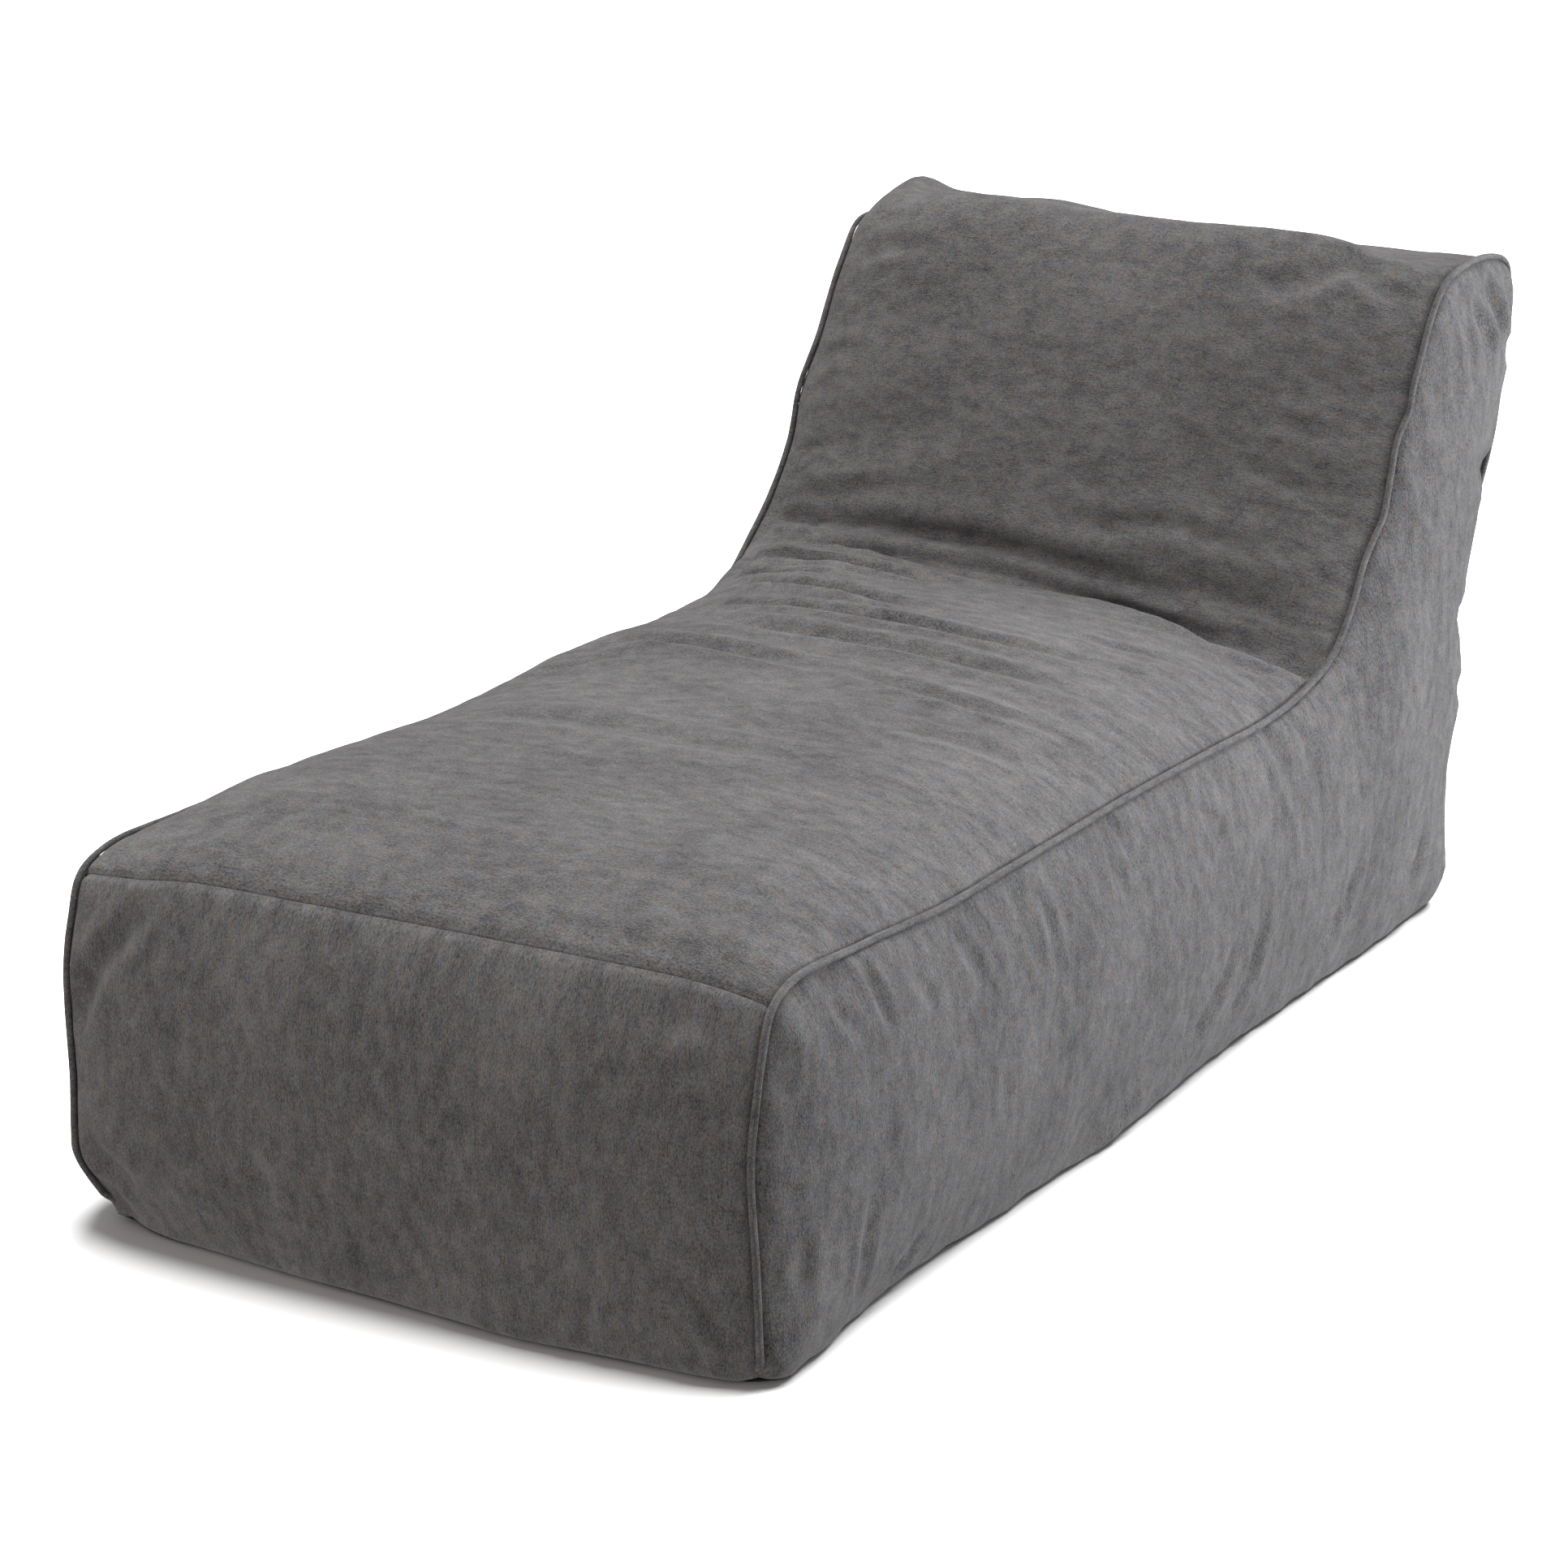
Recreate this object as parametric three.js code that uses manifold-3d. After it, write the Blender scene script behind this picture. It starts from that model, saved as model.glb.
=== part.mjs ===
// A lounger bean bag: a long low seat with a raised leaning back, filled with beads.
// A removable fabric cover with piped seams goes over a liner bag that holds the beads.
// Millimetres. X runs across, Y from the foot end to the back, Z up from the floor.
import * as THREE from "three";
import { mergeVertices } from "three/addons/utils/BufferGeometryUtils.js";
import Module from "manifold-3d";

const wasm = await Module();
wasm.setup();

// Driving dimensions
const SEAM_WIDTH = 700; // between the two piped seams
const BASE_LENGTH = 1500; // foot end to back, along the floor
const SEAT_HEIGHT = 340; // piped seam at the foot end
const BACK_HEIGHT = 703; // piped seam at the top of the back
const REAR_FLAT = 110; // height of the straight, upright strip at the rear that takes the zips

const CLOTH = 1.5; // cover fabric
const LINER_INSET = 6; // cover's outer face to liner's outer face
const LINER_CLOTH = 1;
const FILL_INSET = 9; // cover's outer face to the beads
const GAP = 0.3; // left between pieces that touch
const SLIT = 0.5; // width of the cut that parts two panels at a plain seam

// How far each panel bulges at its middle
const FRONT_BULGE = 30;
const SEAT_BULGE = 58;
const BACK_BULGE = 48;
const TOP_BULGE = 20;
const REAR_BULGE = 40;
const SIDE_BULGE = 30;
const SEAM_BULGE = 10; // at a plain seam, and in the fold between seat and back

const PIPING_RADIUS = 4.5;
const PIPING_BORE = 3.2;
const CORD_RADIUS = 2.5;

const ZIP_HEIGHT = 35; // centre of the cover's zip
const ZIP_HALF_LENGTH = 294;
const LINER_ZIP_HEIGHT = 85;
const LINER_ZIP_HALF_LENGTH = 244;
const TAPE_WIDTH = 20;
const TAPE_THICKNESS = 0.8;
const COIL_WIDTH = 3;
const COIL_THICKNESS = 2;
const COIL_PARTING = 0.6; // from the zip's centre line to each half of the chain
const WINDOW_HALF_HEIGHT = 8; // of the slot that shows the chain
const SLIDER_LENGTH = 12;
const SLIDER_HALF_WIDTH = 5;
const SLIDER_PLATE = 1.2;
const SLIDER_PARK = 9; // slider's centre to the chain's end
const TAB_LENGTH = 30;

// Mesh divisions
const ACROSS = 6;
const RISE = 5;
const SEAT_STEPS = 9;
const FOLD_STEPS = 3;
const BACK_STEPS = 7;
const RUN = 1 + SEAT_STEPS + FOLD_STEPS + BACK_STEPS;
const REAR_STEPS = 7;
const REAR_FLAT_STEPS = 2;
const BASE_STEPS = RUN - REAR_STEPS - REAR_FLAT_STEPS;

const HALF = SEAM_WIDTH / 2;
const cover = { color: 0x6b6a6b, roughness: 0.95, metalness: 0 };
const baseCloth = { color: 0x2c2b2b, roughness: 0.9, metalness: 0 };
const zipCloth = { color: 0x39393a, roughness: 0.85, metalness: 0 };
const zipPlastic = { color: 0x2a2a2b, roughness: 0.45, metalness: 0 };
const zipMetal = { color: 0x8d8f92, roughness: 0.35, metalness: 1 };
const linerCloth = { color: 0xe9e7e2, roughness: 0.8, metalness: 0 };
const beads = { color: 0xf4f4f2, roughness: 0.7, metalness: 0 };
const pipingCord = { color: 0xdedad0, roughness: 0.9, metalness: 0 };
const labelCloth = { color: 0xf0efec, roughness: 0.7, metalness: 0 };

const chair = new THREE.Group();

function add(name, geometry, look) {
  const mesh = new THREE.Mesh(geometry, new THREE.MeshStandardMaterial(look));
  mesh.name = name;
  chair.add(mesh);
}

// Joining and cutting

function solid(geometry) {
  const bare = geometry.clone();
  bare.deleteAttribute("normal");
  bare.deleteAttribute("uv");
  const merged = mergeVertices(bare, 1e-3);
  return new wasm.Manifold(
    new wasm.Mesh({
      numProp: 3,
      vertProperties: merged.attributes.position.array,
      triVerts: new Uint32Array(merged.index.array),
    }),
  );
}

function geometryOf(body) {
  const mesh = body.getMesh();
  return new THREE.BufferGeometry()
    .setAttribute("position", new THREE.BufferAttribute(mesh.vertProperties, 3))
    .setIndex(new THREE.BufferAttribute(mesh.triVerts, 1));
}

function boxGeometry([x0, x1], [y0, y1], [z0, z1]) {
  return new THREE.BoxGeometry(x1 - x0, y1 - y0, z1 - z0).translate(
    (x0 + x1) / 2,
    (y0 + y1) / 2,
    (z0 + z1) / 2,
  );
}

const box = (x, y, z) => solid(boxGeometry(x, y, z));

// The side outline: (distance from the foot end, height)

const spline = (...points) =>
  new THREE.SplineCurve(points.map(([y, z]) => new THREE.Vector2(y, z)));

const frontEdge = spline([0, 0], [-8, 120], [-8, 215], [0, 292], [15, 325]);
const footCorner = spline([15, 325], [60, SEAT_HEIGHT]);
const seatEdge = spline([60, SEAT_HEIGHT], [520, 328], [1010, 322]);
const foldEdge = spline([1010, 322], [1090, 330], [1155, 350], [1215, 392]);
const backEdge = spline([1215, 392], [1290, 478], [1345, 572], [1400, 652], [1440, 690]);
const topEdge = spline([1440, 690], [1485, BACK_HEIGHT], [1565, BACK_HEIGHT - 1], [1622, 682]);
const rearEdge = spline(
  [1622, 682],
  [1648, 645],
  [1617, 540],
  [1535, 350],
  [1511, 230],
  [BASE_LENGTH, REAR_FLAT],
);
const rearStrip = new THREE.LineCurve(
  new THREE.Vector2(BASE_LENGTH, REAR_FLAT),
  new THREE.Vector2(BASE_LENGTH, 0),
);
const baseEdge = new THREE.LineCurve(
  new THREE.Vector2(BASE_LENGTH, 0),
  new THREE.Vector2(0, 0),
);

const loop = [
  [frontEdge, RISE],
  [footCorner, 1],
  [seatEdge, SEAT_STEPS],
  [foldEdge, FOLD_STEPS],
  [backEdge, BACK_STEPS],
  [topEdge, RISE],
  [rearEdge, REAR_STEPS],
  [rearStrip, REAR_FLAT_STEPS],
  [baseEdge, BASE_STEPS],
].flatMap(([curve, steps]) => curve.getSpacedPoints(steps).slice(0, -1));

// The outward direction at each corner of the loop, long enough to keep both edges parallel
function outwardAt(index) {
  const count = loop.length;
  const here = loop[index];
  const edgeNormal = (from, to) =>
    new THREE.Vector2(-(to.y - from.y), to.x - from.x).normalize();
  const before = edgeNormal(loop[(index + count - 1) % count], here);
  const after = edgeNormal(here, loop[(index + 1) % count]);
  const between = before.clone().add(after).normalize();
  return between.divideScalar(between.dot(before));
}

const outward = loop.map((_, index) => outwardAt(index));

// How far the strip panels bulge at each corner of the loop
const swell = (at) => 1 - (2 * at - 1) ** 4;

function bulgeAt(index) {
  const top = index - RISE;
  const seatEnd = 1 + SEAT_STEPS + 1;
  const end = top - RUN;
  const rear = end - RISE;
  if (index < RISE) return FRONT_BULGE * swell(index / RISE) + SEAM_BULGE * (index / RISE);
  if (top < seatEnd) return SEAM_BULGE + (SEAT_BULGE - SEAM_BULGE) * swell(top / seatEnd);
  if (top < RUN) {
    const rise = (top - seatEnd) / (RUN - seatEnd);
    return SEAM_BULGE + (BACK_BULGE - SEAM_BULGE) * swell(rise);
  }
  if (end < RISE) return SEAM_BULGE + (TOP_BULGE - SEAM_BULGE) * swell(end / RISE);
  if (rear < REAR_STEPS) {
    const fall = rear / REAR_STEPS;
    return SEAM_BULGE * (1 - fall) + (REAR_BULGE - SEAM_BULGE) * swell(fall);
  }
  return 0;
}

// The whole stuffed shape, drawn in all round by inset: a divided box bent to the outline
function stuffedShape(inset) {
  const half = HALF - inset;
  const edge = loop.map((p, i) => p.clone().addScaledVector(outward[i], -inset));
  const frontRow = (m) => m;
  const topRow = (k) => RISE + k;
  const endRow = (m) => RISE + RUN + (RISE - m);
  const baseRow = (k) => (edge.length - k) % edge.length;

  // A point of the side panel: k steps along, m steps up, blended from its four edges
  function sidePoint(k, m) {
    const [t, w] = [k / RUN, m / RISE];
    const point = new THREE.Vector2();
    point.addScaledVector(edge[baseRow(k)], 1 - w).addScaledVector(edge[topRow(k)], w);
    point.addScaledVector(edge[frontRow(m)], 1 - t).addScaledVector(edge[endRow(m)], t);
    point.addScaledVector(edge[0], -(1 - t) * (1 - w));
    point.addScaledVector(edge[topRow(0)], -(1 - t) * w);
    point.addScaledVector(edge[baseRow(RUN)], -t * (1 - w));
    point.addScaledVector(edge[endRow(RISE)], -t * w);
    return point;
  }

  function rowOnEdge(k, m) {
    if (k === 0) return frontRow(m);
    if (m === RISE) return topRow(k);
    if (k === RUN) return endRow(m);
    return baseRow(k);
  }

  const shape = new THREE.BoxGeometry(2, 2, 2, ACROSS, RISE, RUN);
  const position = shape.attributes.position;
  const vertex = new THREE.Vector3();
  for (let i = 0; i < position.count; i++) {
    vertex.fromBufferAttribute(position, i);
    const u = vertex.x;
    const m = Math.round(((vertex.y + 1) / 2) * RISE);
    const k = Math.round(((1 - vertex.z) / 2) * RUN);
    if (Math.abs(u) > 0.999) {
      const at = sidePoint(k, m);
      const bulge = SIDE_BULGE * swell(m / RISE) * (1 - (2 * (k / RUN) - 1) ** 8);
      position.setXYZ(i, Math.sign(u) * (half + bulge), at.x, at.y);
    } else {
      const row = rowOnEdge(k, m);
      const at = edge[row].clone().addScaledVector(outward[row], bulgeAt(row) * (1 - u ** 4));
      position.setXYZ(i, u * half, at.x, at.y);
    }
  }
  return solid(shape);
}

// Piped seams: a cord inside a folded strip of the cover fabric, round each side panel

class SeamLine extends THREE.Curve {
  constructor(points) {
    super();
    this.points = points;
  }

  getPoint(t, target = new THREE.Vector3()) {
    const place = t * (this.points.length - 1);
    const index = Math.min(Math.floor(place), this.points.length - 2);
    return target.lerpVectors(this.points[index], this.points[index + 1], place - index);
  }

  getSpacedPoints() {
    return this.points;
  }

  getTangentAt(u, target = new THREE.Vector3()) {
    const index = Math.round(u * (this.points.length - 1));
    const before = this.points[Math.max(index - 1, 0)];
    const after = this.points[Math.min(index + 1, this.points.length - 1)];
    return target.subVectors(after, before).normalize();
  }
}

function ring(radius, sides) {
  return Array.from({ length: sides }, (_, i) => {
    const angle = (2 * Math.PI * i) / sides;
    return new THREE.Vector2(radius * Math.cos(angle), radius * Math.sin(angle));
  });
}

function tubeAlongSeam(side, foot, radius, bore, sides) {
  const seamed = loop.slice(0, loop.length - BASE_STEPS + 1);
  const points = seamed.map((p) => new THREE.Vector3(side * HALF, p.x, Math.max(p.y, foot)));
  const section = new THREE.Shape(ring(radius, sides));
  if (bore) section.holes.push(new THREE.Path(ring(bore, sides).reverse()));
  return new THREE.ExtrudeGeometry(section, {
    steps: points.length - 1,
    extrudePath: new SeamLine(points),
  });
}

const PIPING_FOOT = 3;
const SIDES = { right: 1, left: -1 };
for (const [name, side] of Object.entries(SIDES)) {
  const wrap = tubeAlongSeam(side, PIPING_FOOT, PIPING_RADIUS, PIPING_BORE, 8);
  add("piping_wrap_" + name, wrap, cover);
  add("piping_cord_" + name, tubeAlongSeam(side, PIPING_FOOT, CORD_RADIUS, 0, 6), pipingCord);
}

// The cover's panels: one shell, parted at its seams

const BASE_TOP = CLOTH + GAP;
const SEAM_CUT_RADIUS = PIPING_RADIUS + 1;
const FAR = 2000; // beyond the object

const shell = stuffedShape(0).subtract(stuffedShape(CLOTH));

// A slit across the cover at a plain seam, square to the outline
function seamSlit(row) {
  const out = outward[row];
  const slit = new THREE.BoxGeometry(SEAM_WIDTH - 8, 80, SLIT)
    .rotateX(Math.atan2(out.y, out.x))
    .translate(0, loop[row].x, loop[row].y);
  return solid(slit);
}

const rearWindow = (halfLength, height) =>
  box(
    [-halfLength, halfLength],
    [BASE_LENGTH - 40, BASE_LENGTH + 40],
    [height - WINDOW_HALF_HEIGHT, height + WINDOW_HALF_HEIGHT],
  );

const zipSlit = box(
  [-HALF, HALF],
  [BASE_LENGTH - 20, BASE_LENGTH + 20],
  [ZIP_HEIGHT - SLIT / 2, ZIP_HEIGHT + SLIT / 2],
);
const baseSlit = box([-FAR, FAR], [-FAR, FAR], [BASE_TOP, BASE_TOP + SLIT]);
const cuts = [
  ...Object.values(SIDES).map((side) =>
    solid(tubeAlongSeam(side, BASE_TOP, SEAM_CUT_RADIUS, 0, 8)),
  ),
  seamSlit(RISE),
  seamSlit(RISE + RUN + RISE - 1),
  rearWindow(ZIP_HALF_LENGTH + 8, ZIP_HEIGHT),
  zipSlit,
  baseSlit,
];
const parted = cuts.reduce((body, cut) => body.subtract(cut), shell);

// Each panel is known by where the middle of its box lies
const panelLooks = {
  front_panel: [0, -15, 165],
  seat_back_panel: [0, 790, 520],
  rear_panel: [0, 1590, 360],
  rear_zip_facing: [0, BASE_LENGTH, 18],
  base_panel: [0, BASE_LENGTH / 2, 1],
  side_panel_left: [-HALF, 800, 350],
  side_panel_right: [HALF, 800, 350],
};

const loosePanels = parted.decompose().map((body) => {
  const { min, max } = body.boundingBox();
  const middle = new THREE.Vector3(...min.map((low, axis) => (low + max[axis]) / 2));
  return { body, middle };
});
for (const [name, middle] of Object.entries(panelLooks)) {
  const target = new THREE.Vector3(...middle);
  loosePanels.sort((a, b) => a.middle.distanceTo(target) - b.middle.distanceTo(target));
  const look = name === "base_panel" ? baseCloth : cover;
  add(name, geometryOf(loosePanels.shift().body), look);
}
if (loosePanels.length) throw new Error(loosePanels.length + " pieces of cover have no name");

// A zip: two tapes with a coil on each, its slider, and its end stops.
// faceY is the outer face of the tapes.

function addZip(prefix, faceY, height, halfLength, slackAtEnds) {
  const halves = { upper: 1, lower: -1 };
  for (const [name, side] of Object.entries(halves)) {
    const band = (near, far) => [side * near, side * far].map((z) => height + z).sort((a, b) => a - b);
    add(
      prefix + "tape_" + name,
      boxGeometry(
        [-halfLength - slackAtEnds, halfLength + slackAtEnds],
        [faceY - TAPE_THICKNESS, faceY],
        band(COIL_PARTING, TAPE_WIDTH),
      ),
      zipCloth,
    );
    add(
      prefix + "coil_" + name,
      boxGeometry(
        [-halfLength, halfLength],
        [faceY + GAP, faceY + GAP + COIL_THICKNESS],
        band(COIL_PARTING, COIL_PARTING + COIL_WIDTH),
      ),
      zipPlastic,
    );
  }
}

function sliderBody(x, faceY, height) {
  const coilFace = faceY + GAP + COIL_THICKNESS;
  const plate = (y) =>
    box(
      [x - SLIDER_LENGTH / 2, x + SLIDER_LENGTH / 2],
      [y, y + SLIDER_PLATE],
      [height - SLIDER_HALF_WIDTH, height + SLIDER_HALF_WIDTH],
    );
  const flange = (side) => {
    const z = [side * SLIDER_HALF_WIDTH, side * (SLIDER_HALF_WIDTH - 1)];
    return box(
      [x - SLIDER_LENGTH / 2, x + SLIDER_LENGTH / 2],
      [faceY + GAP, coilFace + 2 * GAP],
      z.map((offset) => height + offset).sort((a, b) => a - b),
    );
  };
  const back = faceY - TAPE_THICKNESS - GAP - SLIDER_PLATE;
  const web = box([x + 1, x + 5], [back, coilFace + 2 * GAP], [height - 0.3, height + 0.3]);
  return plate(coilFace + GAP).add(plate(back)).add(flange(1)).add(flange(-1)).add(web);
}

// The arch on the slider's face that holds the pull tab's bar
const ARCH_HALF_LENGTH = 3.2;
const ARCH_HALF_WIDTH = 1;
const ARCH_RISE = 2.6;
const TAB_BAR_RADIUS = 0.6;
const TAB_HALF_WIDTH = 3.2;
const TAB_THICKNESS = 1;

function arch(x, plateFace, height) {
  const z = [height - ARCH_HALF_WIDTH, height + ARCH_HALF_WIDTH];
  const outer = box(
    [x - ARCH_HALF_LENGTH, x + ARCH_HALF_LENGTH],
    [plateFace - GAP, plateFace + ARCH_RISE],
    z,
  );
  const clear = ARCH_HALF_LENGTH - 1.6;
  return outer.subtract(
    box([x - clear, x + clear], [plateFace, plateFace + ARCH_RISE - 1], [z[0] - 1, z[1] + 1]),
  );
}

function pullTab(x, barY, height) {
  const bar = new THREE.CylinderGeometry(TAB_BAR_RADIUS, TAB_BAR_RADIUS, 2 * TAB_HALF_WIDTH, 12)
    .rotateX(Math.PI / 2)
    .translate(x, barY, height);
  const y = [barY - TAB_THICKNESS / 2, barY + TAB_THICKNESS / 2];
  const z = [height - TAB_HALF_WIDTH, height + TAB_HALF_WIDTH];
  const eye = [height - ARCH_HALF_WIDTH - 0.4, height + ARCH_HALF_WIDTH + 0.4];
  return box([x - TAB_LENGTH, x], y, z)
    .subtract(box([x - 8, x + 1], [barY - 2, barY + 2], eye))
    .add(solid(bar));
}

const zipFace = BASE_LENGTH - CLOTH - GAP;
const sliderX = ZIP_HALF_LENGTH - SLIDER_PARK;
const plateFace = zipFace + GAP + COIL_THICKNESS + GAP + SLIDER_PLATE;
const tabBarY = plateFace + (ARCH_RISE - 1) / 2;
addZip("zip_", zipFace, ZIP_HEIGHT, ZIP_HALF_LENGTH, 10);
for (const [name, side] of Object.entries(SIDES)) {
  const ends = [side * (ZIP_HALF_LENGTH + GAP), side * (ZIP_HALF_LENGTH + 3)];
  const stop = boxGeometry(
    ends.sort((a, b) => a - b),
    [zipFace + GAP, zipFace + GAP + COIL_THICKNESS],
    [ZIP_HEIGHT - COIL_WIDTH, ZIP_HEIGHT + COIL_WIDTH],
  );
  add("zip_end_stop_" + name, stop, zipMetal);
}
add(
  "zip_slider",
  geometryOf(sliderBody(sliderX, zipFace, ZIP_HEIGHT).add(arch(sliderX, plateFace, ZIP_HEIGHT))),
  zipMetal,
);
add("zip_pull_tab", geometryOf(pullTab(sliderX, tabBarY, ZIP_HEIGHT)), zipMetal);

// The liner bag, with its own zip behind the cover's rear panel and no pull on its slider

const linerFace = BASE_LENGTH - LINER_INSET - LINER_CLOTH - GAP;
const linerMouth = rearWindow(LINER_ZIP_HALF_LENGTH + 8, LINER_ZIP_HEIGHT);
const liner = stuffedShape(LINER_INSET)
  .subtract(stuffedShape(LINER_INSET + LINER_CLOTH))
  .subtract(linerMouth);
add("liner_bag", geometryOf(liner), linerCloth);
addZip("liner_zip_", linerFace, LINER_ZIP_HEIGHT, LINER_ZIP_HALF_LENGTH, 6);
const linerSliderX = LINER_ZIP_HALF_LENGTH - SLIDER_PARK;
const linerSlider = sliderBody(linerSliderX, linerFace, LINER_ZIP_HEIGHT);
add("liner_zip_slider", geometryOf(linerSlider), zipMetal);

// The beads, in the two convex lots they settle into: under the seat, and in the back

const FOLD_FRONT = 1165;
const FOLD_HEIGHT = 352;
const zipRoom = box(
  [-LINER_ZIP_HALF_LENGTH - 18, LINER_ZIP_HALF_LENGTH + 18],
  [linerFace - 5, BASE_LENGTH],
  [LINER_ZIP_HEIGHT - TAPE_WIDTH - 3, LINER_ZIP_HEIGHT + TAPE_WIDTH + 3],
);
const fill = stuffedShape(FILL_INSET).subtract(zipRoom);
const backSpace = box([-FAR, FAR], [FOLD_FRONT, FAR], [FOLD_HEIGHT, FAR]);
const aboveSeat = box([-FAR, FAR], [FOLD_FRONT - SLIT, FAR], [FOLD_HEIGHT - SLIT, FAR]);
add("back_bead_fill", geometryOf(fill.intersect(backSpace)), beads);
add("seat_bead_fill", geometryOf(fill.subtract(aboveSeat)), beads);

// A blank care label, sewn into the left rear seam above the floor

const LABEL_WIDTH = 32;
const LABEL_DROP = 55;
const labelEdge = -HALF + PIPING_RADIUS + 1;
add(
  "care_label",
  boxGeometry(
    [labelEdge, labelEdge + LABEL_WIDTH],
    [BASE_LENGTH + GAP, BASE_LENGTH + GAP + 0.5],
    [48, 48 + LABEL_DROP],
  ),
  labelCloth,
);

// The origin is under the middle of the object's box
const bounds = new THREE.Box3().setFromObject(chair);
const middle = bounds.getCenter(new THREE.Vector3());
chair.position.set(-middle.x, -middle.y, -bounds.min.z);

export default chair;
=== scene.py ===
"""A long bean bag lounger in heather grey cloth, with piped seams, a rear zip, a liner and beads.

Lengths are metres in the frame's own axes: +Z up, +Y from the foot end to the back, +X to the right.
A place on the cover's long middle strip is (x, run): across it, and along it from the floor at the foot
end, over the seat, the backrest and the top, and down the rear to the floor again.
"""
import math

import bpy
import numpy as np
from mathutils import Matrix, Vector


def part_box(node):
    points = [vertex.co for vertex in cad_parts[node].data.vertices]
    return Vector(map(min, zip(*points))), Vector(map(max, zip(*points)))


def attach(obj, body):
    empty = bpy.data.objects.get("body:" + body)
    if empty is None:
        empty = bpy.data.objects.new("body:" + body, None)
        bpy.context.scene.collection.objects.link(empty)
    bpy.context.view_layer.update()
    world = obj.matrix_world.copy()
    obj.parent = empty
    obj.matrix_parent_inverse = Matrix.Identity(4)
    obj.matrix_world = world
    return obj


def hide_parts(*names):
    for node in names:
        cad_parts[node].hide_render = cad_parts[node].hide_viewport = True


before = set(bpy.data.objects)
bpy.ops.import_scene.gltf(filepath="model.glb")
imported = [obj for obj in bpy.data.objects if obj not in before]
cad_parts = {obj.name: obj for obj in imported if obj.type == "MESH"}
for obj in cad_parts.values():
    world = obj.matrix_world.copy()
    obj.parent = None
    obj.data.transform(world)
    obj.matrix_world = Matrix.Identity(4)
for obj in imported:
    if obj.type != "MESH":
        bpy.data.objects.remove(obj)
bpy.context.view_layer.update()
BODY = "stuffed_body"

# ---------------------------------------------------------------- driving dimensions
BASE_LENGTH = 1.500  # foot end to rear on the floor
CLOTH = 0.0015  # cover cloth thickness
HALF_WIDTH = (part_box("piping_wrap_right")[0].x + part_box("piping_wrap_right")[1].x) / 2
REAR_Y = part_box("rear_zip_facing")[1].y
FOOT_Y = REAR_Y - BASE_LENGTH
ZIP_MIDDLE_Z = (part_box("zip_coil_lower")[0].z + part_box("zip_coil_upper")[1].z) / 2
ZIP_WINDOW_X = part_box("zip_end_stop_right")[1].x + 0.005
ZIP_WINDOW_HALF = 0.008
WINDOW_CORNER = 0.0015
PIPING_RADIUS = 0.0032
CORD_RADIUS = 0.0020
GRID = 0.010  # mesh size for the cloth simulation
FINE = 0.006  # mesh size of the finished cloth
EDGE_FINE = 0.0016  # and next to its seams
LINER_GAP = 0.012
FILL_GAP = 0.024
LINER_CLOTH = 0.0008
LABEL_CLOTH = 0.0004
VOXEL = 0.012  # mesh size of the liner and the filling

# The side outline, followed by both piped seams: (distance from the foot end, height)
OUTLINE = (
    (0.002, 0.002), (-0.002, 0.022), (-0.006, 0.07), (-0.009, 0.13), (-0.008, 0.215), (0, 0.292),
    (0.015, 0.325), (0.06, 0.341), (0.17, 0.339), (0.313, 0.332), (0.52, 0.328), (0.85, 0.325),
    (1.01, 0.322), (1.09, 0.329), (1.155, 0.346), (1.215, 0.39), (1.29, 0.478), (1.345, 0.57), (1.4, 0.655),
    (1.44, 0.69), (1.485, 0.7), (1.565, 0.7), (1.622, 0.682), (1.63, 0.645), (1.606, 0.54), (1.525, 0.35),
    (1.509, 0.23), (1.5, 0.11), (1.5, 0.07), (1.5, 0.002),
)


# ---------------------------------------------------------------- curves and grids
def smooth_curve(points, steps=30):
    """A smooth curve through the points, however they are spaced."""
    points = np.asarray(points, float)
    ends = np.vstack([2 * points[0] - points[1], points, 2 * points[-1] - points[-2]])
    share = np.linspace(0, 1, steps, endpoint=False)[:, None]
    spans = []
    for a, b, c, d in zip(ends, ends[1:], ends[2:], ends[3:]):
        t1 = np.linalg.norm(b - a) ** 0.5
        t2 = t1 + np.linalg.norm(c - b) ** 0.5
        t3 = t2 + np.linalg.norm(d - c) ** 0.5
        t = t1 + (t2 - t1) * share
        ab = a + (b - a) * t / t1
        bc = b + (c - b) * (t - t1) / (t2 - t1)
        cd = c + (d - c) * (t - t2) / (t3 - t2)
        left = ab + (bc - ab) * t / t2
        right = bc + (cd - bc) * (t - t1) / (t3 - t1)
        spans.append(left + (right - left) * (t - t1) / (t2 - t1))
    return np.vstack([*spans, points[-1:]])


def lengths(curve):
    return np.r_[0, np.cumsum(np.linalg.norm(np.diff(curve, axis=0), axis=1))]


def ease(share):
    """A share from 0 to 1, made to start and end softly."""
    return share * share * (3 - 2 * share)


def unit(vectors):
    return vectors / np.linalg.norm(vectors, axis=-1, keepdims=True)


def table(run, rows):
    """Values given at a few runs, carried smoothly between them. A row is (run, value, ...)."""
    rows = np.asarray(rows, float)
    at = np.clip(run, rows[0, 0], rows[-1, 0])
    index = np.clip(np.searchsorted(rows[:, 0], at) - 1, 0, len(rows) - 2)
    share = ease((at - rows[index, 0]) / (rows[index + 1, 0] - rows[index, 0]))
    return [rows[index, k] * (1 - share) + rows[index + 1, k] * share for k in range(1, rows.shape[1])]


def bell(distance, reach):
    return np.exp(-0.5 * (distance / reach) ** 2)


def step(low, high, value):
    return ease(np.clip((value - low) / (high - low), 0, 1))


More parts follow.
